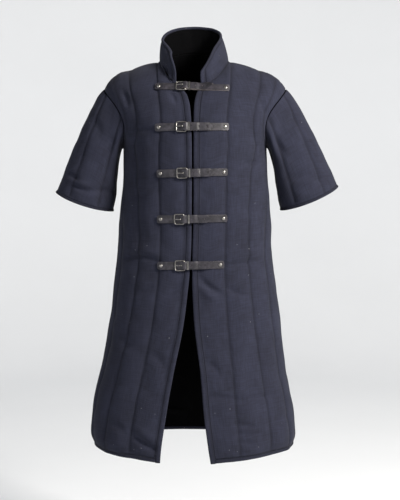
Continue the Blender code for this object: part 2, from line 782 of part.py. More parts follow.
    def build_keeper(self):
        """Flat metal band round the chape and the strap."""
        frame = self.line.frame(self.strap.keeper, 0.0)
        low = SEAM_GAP
        top = self.tongue_lift(self.strap.keeper - KEEPER_WIDTH / 2)
        high = top + LEATHER / 2 + SEAM_GAP + KEEPER_WALL
        outer_half = STRAP_WIDTH / 2 + SEAM_GAP + KEEPER_WALL
        shape = bmesh.new()
        rims = []
        for end in (-1, 1):
            rim = []
            for inset in (0.0, KEEPER_WALL):
                corners = ((-1, low + inset), (1, low + inset), (1, high - inset), (-1, high - inset))
                half = outer_half - inset
                places = [(end * KEEPER_WIDTH / 2, turn * half, lift) for turn, lift in corners]
                rim.append([shape.verts.new(place) for place in places])
            rims.append(rim)
        (near_out, near_in), (far_out, far_in) = rims
        for index in range(4):
            turn = (index + 1) % 4
            shape.faces.new([near_out[index], near_out[turn], far_out[turn], far_out[index]])
            shape.faces.new([near_in[turn], near_in[index], far_in[index], far_in[turn]])
            shape.faces.new([near_out[turn], near_out[index], near_in[index], near_in[turn]])
            shape.faces.new([far_out[index], far_out[turn], far_in[turn], far_in[index]])
        bmesh.ops.recalc_face_normals(shape, faces=shape.faces)
        keep(f"keeper_{self.strap.number}", shape, "nickel_plate", place=frame)

    def build_rivets(self):
        places = {
            "right": self.strap.right_end + RIVET_INSET,
            "left": self.strap.left_end - RIVET_INSET,
        }
        for side, place in places.items():
            lift = self.tongue_lift(place) if side == "right" else eased(self.lower_lifts, place)
            frame = self.line.frame(place, lift + LEATHER / 2 + 2 * SEAM_GAP)
            shape = bmesh.new()
            profile = []
            for turn in (0, 30, 60):
                angle = math.radians(turn)
                reach = RIVET_RADIUS * math.cos(angle)
                profile.append(shape.verts.new((reach, 0, RIVET_HEIGHT * math.sin(angle))))
            profile.insert(0, shape.verts.new((0, 0, 0)))
            profile.append(shape.verts.new((0, 0, RIVET_HEIGHT)))
            for before, after in zip(profile, profile[1:]):
                shape.edges.new((before, after))
            bmesh.ops.spin(
                shape, geom=shape.verts[:] + shape.edges[:], cent=(0, 0, 0), axis=(0, 0, 1),
                angle=2 * math.pi, steps=12, use_merge=True,
            )
            bmesh.ops.remove_doubles(shape, verts=shape.verts, dist=1e-6)
            bmesh.ops.recalc_face_normals(shape, faces=shape.faces)
            keep(f"rivet_{self.strap.number}_{side}", shape, "nickel_plate", place=frame)


def wire_loop(name, path, radius, frame):
    """Closed ring of wire along a flat path."""
    sides = 6
    shape = bmesh.new()
    loops = []
    count = len(path)
    for index, centre in enumerate(path):
        run = (path[(index + 1) % count] - path[index - 1]).normalized()
        outward = run.cross(Vector((0, 0, 1)))
        ring = []
        for step in range(sides):
            angle = 2 * math.pi * (step + 0.5) / sides
            offset = outward * math.cos(angle) + Vector((0, 0, 1)) * math.sin(angle)
            ring.append(shape.verts.new(centre + radius * offset))
        loops.append(ring)
    for index in range(count):
        before = loops[index]
        after = loops[(index + 1) % count]
        for step in range(sides):
            turn = (step + 1) % sides
            shape.faces.new([before[step], before[turn], after[turn], after[step]])
    bmesh.ops.recalc_face_normals(shape, faces=shape.faces)
    return keep(name, shape, "nickel_plate", place=frame)


# ---------------------------------------------------------------- the whole garment


def weave_fronts(net):
    """Both fronts with their edge and hem bindings. Returns their rows of places."""
    panels = {}
    for side in SIGN:
        rows = panel_rows(side, FRONT)

        def name_of(row, column, side=side):
            if column == 0:
                return f"binding_front_{side}"
            return f"binding_hem_{side}" if row == 0 else f"front_{side}"

        numbers = net.weave(rows, name_of, turned=SIGN[side] < 0)
        lines = quilt_columns(1)
        for row in numbers:
            net.stitch(row[line] for line in lines)
        net.stitch(numbers[1])
        panels[side] = rows
    return panels


def quilt_columns(first):
    """Column numbers of the stitched lines, the side seam's with them."""
    columns = [first]
    for count in CHANNEL_COLUMNS:
        columns.append(columns[-1] + count)
    return columns


def weave_back(net):
    """The back and its hem binding. Returns the rows of places of its two halves."""
    halves = {side: panel_rows(side, BACK) for side in SIGN}
    rows = [right[:0:-1] + left for right, left in zip(halves["right"], halves["left"])]
    numbers = net.weave(rows, lambda row, column: "back" if row else "binding_hem_back", turned=True)
    middle = len(halves["right"][0]) - 1
    for row in numbers:
        for line in quilt_columns(0):
            net.stitch((row[middle - line], row[middle + line]))
    net.stitch(numbers[1])
    return halves


def weave_sleeve(net, side, front, back):
    """A sleeve and its cuff binding, on the armhole that a front and half a back leave."""
    lower = len(LOWER_HEIGHTS)
    down_front = [row[-1] for row in reversed(front[lower:])]
    up_back = [row[-1] for row in back[lower + 1:-1]]
    rows = sleeve_rows(side, down_front + up_back)
    last = len(rows) - 2

    def name_of(row, column):
        return f"binding_cuff_{side}" if row == last else f"sleeve_{side}"

    numbers = net.weave(rows, name_of, turned=SIGN[side] < 0, round_shape=True)
    net.stitch(numbers[0])
    net.stitch(numbers[-2])
    for row in numbers:
        net.stitch(row[::3])


def weave_collar(net, fronts, backs):
    """The collar and its binding, on the neckline."""
    neck = CHANNEL_COLUMNS[0]
    base = fronts["right"][-1][:neck + 2]
    base = base + backs["right"][-1][neck - 1:0:-1] + backs["left"][-1][:neck]
    base = base + fronts["left"][-1][neck + 1::-1]
    rows = collar_rows(base)
    last_row = len(rows) - 2
    last_column = len(base) - 2

    def name_of(row, column):
        bound = row == last_row or column in (0, last_column)
        return "binding_collar" if bound else "collar"

    numbers = net.weave(rows, name_of, turned=True)
    net.stitch(numbers[0])
    net.stitch(numbers[-2])


def fronts_surface():
    """The outer faces of both fronts and their bindings, for laying straps on."""
    names = [f"{piece}_{side}" for piece in ("front", "binding_front") for side in SIGN]
    points = []
    faces = []
    for name in names:
        mesh = bpy.data.objects[name].data
        base = len(points)
        points += [vertex.co for vertex in mesh.vertices]
        faces += [[base + number for number in face.vertices] for face in mesh.polygons]
    return BVHTree.FromPolygons(points, faces)


def cloth_finish(name):
    return "binding_canvas" if name.startswith("binding") else "quilted_canvas"


def main():
    for item in list(bpy.data.objects):
        bpy.data.objects.remove(item, do_unlink=True)
    net = Net()
    fronts = weave_fronts(net)
    backs = weave_back(net)
    for side in SIGN:
        weave_sleeve(net, side, fronts[side], backs[side])
    weave_collar(net, fronts, backs)
    net.build(cloth_finish)
    surface = fronts_surface()
    for strap in STRAPS:
        Fastening(strap, surface).build()


if __name__ == "__main__":
    main()
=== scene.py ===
"""Quilted gambeson with half sleeves, a stand collar and five buckled leather straps.

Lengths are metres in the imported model's frame: +Z up, the wearer faces -Y, and their left arm is on
+X. Right and left are the wearer's own sides. Heights in the tables are above the hem's side seams.
"""

import logging
import math
from collections.abc import Callable, Iterable, Sequence
from dataclasses import dataclass, field
from enum import Enum
from typing import Any, NamedTuple

import bmesh
import bpy
import numpy as np
from mathutils import Matrix, Vector, noise
from mathutils.bvhtree import BVHTree


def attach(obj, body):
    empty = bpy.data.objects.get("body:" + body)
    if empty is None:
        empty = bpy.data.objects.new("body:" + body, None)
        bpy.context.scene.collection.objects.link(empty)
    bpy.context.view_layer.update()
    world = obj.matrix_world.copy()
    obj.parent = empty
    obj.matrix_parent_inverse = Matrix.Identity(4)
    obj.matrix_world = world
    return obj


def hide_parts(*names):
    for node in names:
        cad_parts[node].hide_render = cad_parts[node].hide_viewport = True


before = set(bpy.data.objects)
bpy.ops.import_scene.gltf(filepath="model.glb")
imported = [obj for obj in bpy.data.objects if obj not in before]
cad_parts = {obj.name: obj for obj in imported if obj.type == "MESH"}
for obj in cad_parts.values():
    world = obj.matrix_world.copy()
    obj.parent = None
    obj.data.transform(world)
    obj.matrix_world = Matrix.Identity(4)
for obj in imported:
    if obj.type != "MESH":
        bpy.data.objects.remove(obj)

Array = np.ndarray

LOG = logging.getLogger("gambeson")
ORIGIN_HEIGHT = 0.996
ARMPIT_HEIGHT = 0.775


class Side(Enum):
    """The wearer's own side, with the sign of X there."""

    RIGHT = -1
    LEFT = 1

    @property
    def word(self) -> str:
        """Return the side's name as nodes spell it."""
        return self.name.lower()


class Facing(Enum):
    """The front or the back of the body, with the sign of Y there."""

    FRONT = -1
    BACK = 1


# ------------------------------------------------------------------ tables of the cut


class Ring(NamedTuple):
    """One level of the body: half widths, depths, and where the two front edges stand."""

    height: float
    right: float
    left: float
    front: float
    back: float
    right_edge: float
    left_edge: float


RINGS = (
    Ring(0.000, 0.262, 0.257, 0.166, 0.158, 0.0865, 0.0400),
    Ring(0.034, 0.273, 0.265, 0.168, 0.160, 0.0835, 0.0340),
    Ring(0.115, 0.265, 0.256, 0.164, 0.155, 0.0705, 0.0228),
    Ring(0.215, 0.243, 0.236, 0.158, 0.147, 0.0520, 0.0140),
    Ring(0.320, 0.225, 0.225, 0.151, 0.137, 0.0300, 0.0003),
    Ring(0.424, 0.212, 0.211, 0.146, 0.128, 0.0165, -0.0058),
    Ring(0.500, 0.203, 0.201, 0.143, 0.123, 0.0100, -0.0058),
    Ring(0.600, 0.196, 0.197, 0.147, 0.125, 0.0078, -0.0032),
    Ring(0.690, 0.187, 0.189, 0.153, 0.133, 0.0073, -0.0027),
    Ring(ARMPIT_HEIGHT, 0.186, 0.186, 0.155, 0.137, 0.0073, -0.0027),
)


class Lines(NamedTuple):
    """Where a panel's three long quilting lines stand, as shares of its width."""

    height: float
    first: float
    second: float
    third: float


FRONT_LINES = {
    Side.RIGHT: (
        Lines(0.000, 0.31, 0.60, 0.83),
        Lines(0.500, 0.29, 0.51, 0.76),
        Lines(0.690, 0.315, 0.571, 0.80),
        Lines(ARMPIT_HEIGHT, 0.315, 0.61, 0.82),
    ),
    Side.LEFT: (
        Lines(0.000, 0.25, 0.54, 0.76),
        Lines(0.500, 0.29, 0.52, 0.73),
        Lines(0.690, 0.30, 0.55, 0.80),
        Lines(ARMPIT_HEIGHT, 0.32, 0.64, 0.83),
    ),
}
BACK_LINES = (
    Lines(0.000, 0.29, 0.56, 0.80),
    Lines(ARMPIT_HEIGHT, 0.30, 0.58, 0.81),
)


class Roll(NamedTuple):
    """Where the front edges stand as they roll open towards the collar."""

    climb: float
    right: float
    left: float


EDGE_ROLL = (
    Roll(0.00, 0.0073, -0.0027),
    Roll(0.37, 0.0090, -0.0024),
    Roll(0.60, 0.0118, -0.0014),
    Roll(0.70, 0.0150, 0.0004),
    Roll(0.82, 0.0212, 0.0042),
    Roll(0.92, 0.0330, 0.0095),
    Roll(1.00, 0.0453, 0.0148),
)


class Armhole(NamedTuple):
    """How far the armhole seam stands outside the armpit as it climbs."""

    degrees: float
    front: float
    back: float


ARMHOLE = (
    Armhole(0, 0.0000, 0.0000),
    Armhole(6, -0.0060, -0.0030),
    Armhole(15, -0.0080, -0.0020),
    Armhole(25, 0.0020, 0.0080),
    Armhole(43, 0.0290, 0.0320),
    Armhole(63, 0.0445, 0.0460),
    Armhole(90, 0.0490, 0.0490),
)


class CollarTop(NamedTuple):
    """A place on the collar's top edge; seam counts round the neckline from the right end."""

    seam: float
    side: float
    forward: float
    height: float


COLLAR_TOP = (
    CollarTop(0.0, -0.0555, 0.112, 0.9668),
    CollarTop(1.7, -0.0605, 0.092, 0.9960),
    CollarTop(3.3, -0.0700, 0.056, 1.0252),
    CollarTop(5.0, -0.0860, 0.000, 1.0574),
    CollarTop(7.0, -0.0620, -0.060, 1.0860),
    CollarTop(9.0, -0.0060, -0.087, 1.0970),
    CollarTop(11.0, 0.0520, -0.062, 1.0885),
    CollarTop(13.0, 0.0700, -0.010, 1.0640),
    CollarTop(14.7, 0.0500, 0.050, 1.0260),
    CollarTop(16.3, 0.0335, 0.092, 0.9860),
    CollarTop(18.0, 0.0192, 0.114, 0.9560),
)


class Cuff(NamedTuple):
    """The outer and inner corners of a sleeve's open end."""

    outer: float
    outer_height: float
    inner: float
    inner_height: float


CUFFS = {
    Side.RIGHT: Cuff(0.362, 0.659, 0.211, 0.609),
    Side.LEFT: Cuff(0.3735, 0.674, 0.221, 0.611),
}


class Crease(NamedTuple):
    """A soft trough or ridge between two points, seen from the front or the back.

    A positive depth is a trough. bow bends the line, in metres at its middle.
    """

    facing: Facing
    x1: float
    height1: float
    x2: float
    height2: float
    bow: float
    depth: float
    width: float


F, B = Facing.FRONT, Facing.BACK
BODY_CREASES = (
    # drawn in at the waist on each front, where the padding folds over a belt's place
    Crease(F, -0.176, 0.489, -0.150, 0.500, 0.002, 0.0030, 0.005),
    Crease(F, -0.150, 0.500, -0.090, 0.488, 0.003, 0.0026, 0.006),
    Crease(F, -0.165, 0.520, -0.100, 0.512, -0.004, -0.0022, 0.012),
    Crease(F, 0.078, 0.478, 0.172, 0.492, -0.002, 0.0026, 0.005),
    Crease(F, 0.090, 0.500, 0.160, 0.508, 0.003, -0.0020, 0.012),
    # pulls that run down from the last strap
    Crease(F, 0.012, 0.447, 0.068, 0.408, -0.004, 0.0034, 0.006),
    Crease(F, 0.014, 0.427, 0.058, 0.392, -0.003, -0.0022, 0.008),
    Crease(F, 0.078, 0.424, 0.128, 0.402, -0.002, 0.0024, 0.006),
    Crease(F, -0.030, 0.440, -0.078, 0.402, 0.004, 0.0020, 0.007),
    Crease(F, -0.100, 0.430, -0.150, 0.404, 0.003, 0.0018, 0.008),
    # across the skirts
    Crease(F, 0.034, 0.152, 0.120, 0.143, 0.003, 0.0022, 0.006),
    Crease(F, 0.120, 0.143, 0.214, 0.150, 0.002, 0.0016, 0.006),
    Crease(F, 0.030, 0.240, 0.060, 0.212, 0.003, 0.0020, 0.007),
    Crease(F, 0.098, 0.086, 0.150, 0.075, 0.002, 0.0024, 0.005),
    Crease(F, 0.104, 0.062, 0.160, 0.060, -0.002, 0.0020, 0.005),
    Crease(F, 0.110, 0.041, 0.150, 0.034, 0.002, 0.0020, 0.005),
    Crease(F, 0.190, 0.075, 0.235, 0.090, 0.002, 0.0018, 0.007),
    Crease(F, -0.156, 0.056, -0.094, 0.020, -0.002, 0.0036, 0.006),
    Crease(F, -0.140, 0.070, -0.094, 0.048, -0.002, -0.0022, 0.009),
    Crease(F, -0.215, 0.080, -0.176, 0.062, 0.003, 0.0018, 0.008),
    Crease(F, -0.110, 0.260, -0.075, 0.225, 0.004, 0.0018, 0.009),
    Crease(F, -0.200, 0.300, -0.165, 0.270, 0.003, 0.0016, 0.010),
    # chest and shoulders
    Crease(F, -0.166, 0.809, -0.104, 0.812, 0.002, 0.0018, 0.005),
    Crease(F, 0.120, 0.730, 0.162, 0.731, 0.001, 0.0022, 0.004),
    Crease(F, -0.180, 0.910, -0.168, 0.876, 0.002, 0.0026, 0.006),
    Crease(F, 0.168, 0.886, 0.180, 0.852, -0.002, 0.0018, 0.007),
    Crease(F, -0.172, 0.640, -0.120, 0.652, 0.003, 0.0014, 0.009),
    Crease(F, 0.130, 0.610, 0.180, 0.628, -0.003, 0.0014, 0.009),
    Crease(F, -0.060, 0.905, -0.048, 0.878, 0.002, 0.0020, 0.005),
    # the back: drawn in at the waist, slack over the hips and between the shoulders
    Crease(B, -0.170, 0.496, -0.040, 0.506, 0.004, 0.0030, 0.007),
    Crease(B, -0.050, 0.484, 0.090, 0.480, -0.004, 0.0026, 0.008),
    Crease(B, 0.070, 0.505, 0.178, 0.494, 0.003, 0.0028, 0.006),
    Crease(B, -0.120, 0.535, 0.020, 0.530, 0.005, -0.0020, 0.014),
    Crease(B, 0.030, 0.552, 0.130, 0.545, -0.004, 0.0016, 0.010),
    Crease(B, -0.090, 0.405, -0.030, 0.372, -0.004, 0.0018, 0.008),
    Crease(B, 0.060, 0.410, 0.120, 0.380, 0.004, 0.0020, 0.008),
    Crease(B, -0.190, 0.150, -0.070, 0.160, -0.003, 0.0018, 0.007),
    Crease(B, 0.040, 0.120, 0.180, 0.132, 0.004, 0.0020, 0.007),
    Crease(B, -0.120, 0.062, -0.030, 0.048, 0.003, 0.0022, 0.006),
    Crease(B, 0.110, 0.055, 0.200, 0.070, -0.002, 0.0022, 0.006),
    Crease(B, -0.110, 0.905, -0.030, 0.925, 0.004, 0.0022, 0.008),
    Crease(B, 0.020, 0.915, 0.110, 0.895, 0.004, 0.0020, 0.008),
    Crease(B, -0.168, 0.850, -0.120, 0.800, 0.005, 0.0026, 0.008),
    Crease(B, 0.166, 0.852, 0.118, 0.795, -0.005, 0.0024, 0.008),
    Crease(B, -0.060, 0.700, 0.050, 0.690, 0.004, 0.0014, 0.010),
)
SLEEVE_CREASES = {
    Side.RIGHT: (
        Crease(F, -0.330, 0.706, -0.292, 0.690, 0.002, 0.0030, 0.005),
        Crease(F, -0.312, 0.680, -0.262, 0.662, -0.003, 0.0034, 0.005),
        Crease(F, -0.262, 0.662, -0.205, 0.661, 0.002, 0.0026, 0.005),
        Crease(F, -0.320, 0.694, -0.270, 0.676, -0.002, -0.0020, 0.008),
        Crease(F, -0.206, 0.800, -0.226, 0.760, 0.003, 0.0024, 0.008),
        Crease(F, -0.260, 0.850, -0.238, 0.800, 0.003, 0.0018, 0.010),
        Crease(B, -0.325, 0.720, -0.240, 0.690, 0.004, 0.0028, 0.007),
        Crease(B, -0.235, 0.840, -0.215, 0.770, 0.004, 0.0026, 0.008),
        Crease(B, -0.290, 0.790, -0.245, 0.750, -0.003, 0.0018, 0.010),
    ),
    Side.LEFT: (
        Crease(F, 0.240, 0.690, 0.300, 0.706, 0.002, 0.0018, 0.007),
        Crease(F, 0.300, 0.690, 0.345, 0.700, -0.002, 0.0020, 0.006),
        Crease(F, 0.206, 0.800, 0.226, 0.755, -0.003, 0.0026, 0.008),
        Crease(F, 0.256, 0.862, 0.240, 0.815, -0.002, 0.0018, 0.010),
        Crease(B, 0.245, 0.695, 0.335, 0.722, -0.003, 0.0026, 0.007),
        Crease(B, 0.235, 0.845, 0.216, 0.775, -0.004, 0.0026, 0.008),
        Crease(B, 0.290, 0.800, 0.250, 0.755, 0.003, 0.0018, 0.010),
    ),
}
COLLAR_CREASES = (
    Crease(F, -0.072, 1.040, -0.066, 1.006, 0.002, 0.0026, 0.006),
    Crease(F, 0.056, 0.972, 0.053, 0.948, 0.001, 0.0026, 0.006),
    Crease(F, 0.086, 0.996, 0.056, 0.966, 0.004, 0.0022, 0.007),
    Crease(F, -0.080, 0.970, -0.071, 0.953, 0.002, 0.0024, 0.005),
    Crease(B, -0.030, 1.085, -0.026, 1.045, 0.002, 0.0016, 0.008),
    Crease(B, 0.034, 1.080, 0.036, 1.040, -0.002, 0.0016, 0.008),
)


class StrapRow(NamedTuple):
    """One fastening: its heights at the two rivets, places along X, and its prong's hole."""

    number: int
    right_height: float
    left_height: float
    right_end: float
    buckle: float
    keeper: float
    tip: float
    left_end: float
    curl: float
    holes: tuple[float, ...]


STRAPS = (
    StrapRow(1, 0.9200, 0.9160, -0.0985, -0.0335, -0.0135, 0.0440, 0.0860, 0.011, (0.002, 0.019)),
    StrapRow(2, 0.8175, 0.8190, -0.0975, -0.0325, -0.0135, 0.0470, 0.0835, 0.0, (-0.0074, 0.0115, 0.0304)),
    StrapRow(3, 0.7045, 0.7085, -0.0930, -0.0310, -0.0120, 0.0486, 0.0805, 0.0, (-0.0034, 0.0135, 0.0323)),
    StrapRow(4, 0.5925, 0.5950, -0.0930, -0.0375, -0.0140, 0.0410, 0.0800, 0.0, (-0.0062, 0.0082, 0.0240)),
    StrapRow(5, 0.4775, 0.4805, -0.0925, -0.0360, -0.0165, 0.0440, 0.0725, 0.0, (-0.0078, 0.0093, 0.0250)),
)


# ------------------------------------------------------------------ small mathematics


def smooth(knots: Sequence[float], values: Sequence[float], at: float) -> float:
    """Read a smooth curve through values, by cubic Hermite spans.

    Args:
        knots: Rising places of the values.
        values: The value at each place.
        at: Where to read the curve.

    Returns:
        The curve's value there.
    """
    last = len(knots) - 1
    span = 0
    while span < last - 1 and at > knots[span + 1]:
        span += 1

    def slope(index: int) -> float:
        """Return the curve's slope at a knot."""
        low = max(index - 1, 0)
        high = min(index + 1, last)
        return (values[high] - values[low]) / (knots[high] - knots[low])

    width = knots[span + 1] - knots[span]
    share = min(max((at - knots[span]) / width, 0.0), 1.0)
    start = (1 + 2 * share) * (1 - share) ** 2
    end = share * share * (3 - 2 * share)
    leave = share * (1 - share) ** 2 * width * slope(span)
    arrive = share * share * (share - 1) * width * slope(span + 1)
    return start * values[span] + end * values[span + 1] + leave + arrive


def read(table: Sequence[Any], key: str, name: str, at: float) -> float:
    """Read one named column of a table of rows, smooth between them.

    Args:
        table: Rows in rising order of key.
        key: The column that at belongs to.
        name: The column to read.
        at: Where to read it.

    Returns:
        The value there.
    """
    return smooth([getattr(r, key) for r in table], [getattr(r, name) for r in table], at)


def lengthwise(points: Array) -> Array:
    """Return running lengths along the last but one axis of points."""
    steps = np.linalg.norm(np.diff(points, axis=-2), axis=-1)
    start = np.zeros(steps.shape[:-1] + (1,))
    return np.concatenate([start, np.cumsum(steps, axis=-1)], axis=-1)


def unit(vectors: Array) -> Array:
    """Return vectors scaled to length one."""
    return vectors / np.maximum(np.linalg.norm(vectors, axis=-1, keepdims=True), 1e-12)


def clustered(counts: Sequence[int], stops: Sequence[float]) -> Array:
    """Return rising column numbers that crowd towards each stop.

    Args:
        counts: Number of columns between each two stops.
        stops: Column numbers of the seams and quilting lines.

    Returns:
        The numbers, with every stop among them.
    """
    found = [float(stops[0])]
    for low, high, count in zip(stops, stops[1:], counts):
        steps = np.arange(1, count + 1) / count
        shares = 0.55 * steps + 0.45 * (1 - np.cos(np.pi * steps)) / 2
        found += list(low + (high - low) * shares)
    return np.array(found)


def grain(points: Array, scale: float, seed: float) -> Array:
    """Return smooth noise from about -1 to 1 at points.

    Args:
        points: Any array of points.
        scale: Size of the noise's features in metres.
        seed: Moves the noise, so that pieces differ.

    Returns:
        One value for each point.
    """
    shift = Vector((seed, 1.7 * seed, -seed))
    flat = points.reshape(-1, 3) / scale
    values = [noise.noise(Vector(place) + shift) for place in flat]
    return np.array(values).reshape(points.shape[:-1])


# ------------------------------------------------------------------ the cloth's form


@dataclass
class Net:
    """Rows and columns of points on the outer face of one panel.

    Attributes:
        points: Places, rows by columns by three.
        columns: The cut's column number of each column.
        lines: Column numbers of the quilting lines and side seams.
        flipped: Whether columns by rows points into the cloth.
        round: Whether the last column is the first again.
        out: The way out of the cloth at each point.
    """

    points: Array
    columns: Array
    lines: tuple[float, ...]
    flipped: bool = False
    round: bool = False
    out: Array = field(init=False)

    def __post_init__(self) -> None:
        """Work out the first normals."""
        self.turn_out()

    def turn_out(self) -> None:
        """Set the way out at each point from its neighbours."""
        padded = self.points
        if self.round:
            padded = np.concatenate([padded[:, -2:-1], padded, padded[:, 1:2]], axis=1)
        across = np.gradient(padded, axis=1)
        if self.round:
            across = across[:, 1:-1]
        along = np.gradient(self.points, axis=0)
        self.out = unit(np.cross(across, along)) * (-1 if self.flipped else 1)

    def ease_to_rim(self) -> None:
        """Turn the way out near each edge towards that on the edge, which neighbours share."""
        across = lengthwise(self.points)
        along = lengthwise(self.points.swapaxes(0, 1)).T
        rims = [(along, self.out[:1]), (along[-1:] - along, self.out[-1:])]
        if not self.round:
            rims += [(across, self.out[:, :1]), (across[:, -1:] - across, self.out[:, -1:])]
        total = self.out
        for away, rim in rims:
            share = np.exp(-((away / 0.012) ** 2))[..., None]
            total = total * (1 - share) + rim * share
        self.out = unit(total)

    def cut(self, rows: slice, columns: slice) -> "Net":
        """Return the part of the net inside two slices, with its normals kept."""
        part = Net(self.points[rows, columns], self.columns[columns], self.lines, self.flipped)
        part.out = self.out[rows, columns].copy()
        return part

    def line_distances(self) -> Array:
        """Return each point's distance to its nearest quilting line, along its row."""
        runs = lengthwise(self.points)
        nearest = np.full(runs.shape, 1.0)
        for line in self.lines:
            index = int(np.argmin(np.abs(self.columns - line)))
            away = np.abs(runs - runs[:, index:index + 1])
            if self.round:
                away = np.minimum(away, runs[:, -1:] - away)
            nearest = np.minimum(nearest, away)
        return nearest


@dataclass
class BodyForm:
    """The worn body of the garment, from hem to neck and shoulders.

    Attributes:
        roundness: 2 is an ellipse, more is squarer.
        binding: Width of the front edges' bindings.
        hem_binding: Height of the hem's binding.
        hem_dip: How much lower the front corners hang than the side seams.
        dip_reach: Height up to which they pull the cloth down.
        neck_half: Half width of the neck at the shoulder line.
        shoulder_tip: Own distance of the shoulder's end.
        neck_height: Height of the points where the collar meets the shoulders.
        shoulder_drop: How far the shoulder's end is below them.
        straight: Share of that drop that is an even slope.
        ridge_middle: Height the shoulder line would have over the middle.
        span: Half width that the chest widens to over the shoulders.
        neck_angle: Climb of the neckline's middle, in degrees.
    """

    roundness: float = 2.2
    binding: float = 0.013
    hem_binding: float = 0.009
    hem_dip: dict[Side, float] = field(default_factory=lambda: {Side.RIGHT: 0.011, Side.LEFT: 0.013})
    dip_reach: float = 0.15
    neck_half: dict[Side, float] = field(default_factory=lambda: {Side.RIGHT: 0.0936, Side.LEFT: 0.0885})
    shoulder_tip: float = 0.235
    neck_height: float = 0.996
    shoulder_drop: float = 0.071
    straight: float = 0.55
    ridge_middle: dict[Facing, float] = field(default_factory=lambda: {F: 0.990, B: 1.076})
    span: float = 0.270
    neck_angle: dict[Facing, float] = field(default_factory=lambda: {F: 44.2, B: 56.6})
    shoulder_stops: tuple[float, ...] = (0.0, 0.5, 0.78, 1.0)
    climbs: tuple[float, ...] = (0.0, 0.06, 0.14, 0.24, 0.35, 0.47, 0.60, 0.73, 0.86, 1.0)
    rows_below: int = 150
    rows_a_climb: int = 6

    def heights(self) -> Array:
        """Return the heights of the rows up to the armpit, two of them in the hem's binding."""
        start = [0.0, self.hem_binding / 2]
        rest = np.linspace(self.hem_binding, ARMPIT_HEIGHT, self.rows_below)
        return np.concatenate([start, rest])

    def climb_steps(self) -> Array:
        """Return the shares of the climb of the rows above the armpit."""
        count = (len(self.climbs) - 1) * self.rows_a_climb
        at = np.arange(1, count + 1) / self.rows_a_climb
        return np.interp(at, np.arange(len(self.climbs)), self.climbs)

    def columns(self, facing: Facing) -> Array:
        """Return the dense column numbers of a front, or of half a back."""
        if facing is F:
            return clustered((4, 16, 16, 14, 14), (0, 1, 5, 8, 11, 14))
        return clustered((16, 16, 14, 14), (0, 4, 7, 10, 13))

    def stops(self, facing: Facing) -> tuple[float, ...]:
        """Return the cut's column numbers of the front edge, lines and side seam."""
        return (0, 1, 5, 8, 11, 14) if facing is F else (0, 4, 7, 10, 13)

    def ring(self, side: Side, facing: Facing, angles: Array, height: float) -> Array:
        """Return points of the body below the armpit at angles from its middle."""
        half = read(RINGS, "height", side.word, height)
        depth = read(RINGS, "height", facing.name.lower(), height)
        power = 2 / self.roundness
        own = np.sign(angles) * half * np.abs(np.sin(angles)) ** power
        across = depth * np.abs(np.cos(angles)) ** power
        return np.stack([side.value * own, facing.value * across, np.full_like(own, height)], axis=-1)

    def ring_row(self, side: Side, facing: Facing, height: float) -> tuple[Array, Array]:
        """Return one row of points below the armpit, and each point's share of the row's length."""
        half = read(RINGS, "height", side.word, height)
        start = read(RINGS, "height", side.word + "_edge", height) if facing is F else 0.0
        share = min(abs(start / half), 1.0) ** (self.roundness / 2)
        angles = np.linspace(math.copysign(math.asin(share), start), math.pi / 2, 241)
        lengths = lengthwise(self.ring(side, facing, angles, height))
        table = BACK_LINES if facing is B else FRONT_LINES[side]
        lines = [read(table, "height", name, height) for name in ("first", "second", "third")]
        edge = [0.0] if facing is B else [0.0, self.binding / lengths[-1]]
        shares = np.interp(self.columns(facing), self.stops(facing), edge + lines + [1.0])
        row = self.ring(side, facing, np.interp(shares * lengths[-1], lengths, angles), height)
        if facing is F:
            fade = max(0.0, 1 - height / self.dip_reach)
            row[:, 2] -= self.hem_dip[side] * fade * (1 - shares) ** 2
        return row, shares

    def ridge(self, side: Side, facing: Facing, own: Array) -> Array:
        """Return the shoulder line's height over own distances."""
        neck = self.neck_half[side]
        share = np.clip((np.abs(own) - neck) / (self.shoulder_tip - neck), 0, None)
        drop = self.straight * share + (1 - self.straight) * share ** 7
        inside = self.ridge_middle[facing]
        over_neck = inside + (self.neck_height - inside) * (own / neck) ** 2
        return np.where(np.abs(own) >= neck, self.neck_height - self.shoulder_drop * drop, over_neck)

    def shoulder(self, side: Side, facing: Facing, own: Array, climb: Array) -> Array:
        """Return points of the body above the armpit."""
        armpit = RINGS[-1]
        widening = np.sin(np.minimum(np.pi / 2, 1.15 * climb)) ** 1.3
        base = getattr(armpit, side.word)
        half = base + (self.span - base) * widening
        depth = getattr(armpit, facing.name.lower()) * np.cos(climb)
        bulge = np.maximum(0.0, 1 - np.abs(own / half) ** self.roundness) ** (1 / self.roundness)
        height = ARMPIT_HEIGHT + (self.ridge(side, facing, own) - ARMPIT_HEIGHT) * np.sin(climb)
        return np.stack([side.value * own, facing.value * depth * bulge, height], axis=-1)

    def top_edge(self, side: Side, facing: Facing) -> tuple[Array, Array]:
        """Return own distance and climb of each column's end on the neckline or shoulder seam."""
        neck = self.neck_half[side]
        columns = self.columns(facing)
        corner = getattr(EDGE_ROLL[-1], side.word) if facing is F else 0.0
        low = math.radians(self.neck_angle[facing])
        if facing is F:
            bound = math.asin(self.binding / (neck - corner))
            turns = np.interp(columns, (0, 1, 5), (0, bound, math.pi / 2))
        else:
            turns = np.interp(columns, (0, 4), (0, math.pi / 2))
        on_neck = corner + (neck - corner) * np.sin(turns)
        shares = np.interp(columns, self.stops(facing)[-4:], self.shoulder_stops)
        on_seam = neck + (self.shoulder_tip - neck) * shares
        past = turns >= math.pi / 2 - 1e-9
        climbs = np.where(past, math.pi / 2, math.pi / 2 + (low - math.pi / 2) * np.cos(turns))
        return np.where(past, on_seam, on_neck), climbs

    def armhole(self, side: Side, facing: Facing, climb: float) -> float:
        """Return the armhole seam's own distance at a climb."""
        out = read(ARMHOLE, "degrees", facing.name.lower(), math.degrees(climb))
        return getattr(RINGS[-1], side.word) + out

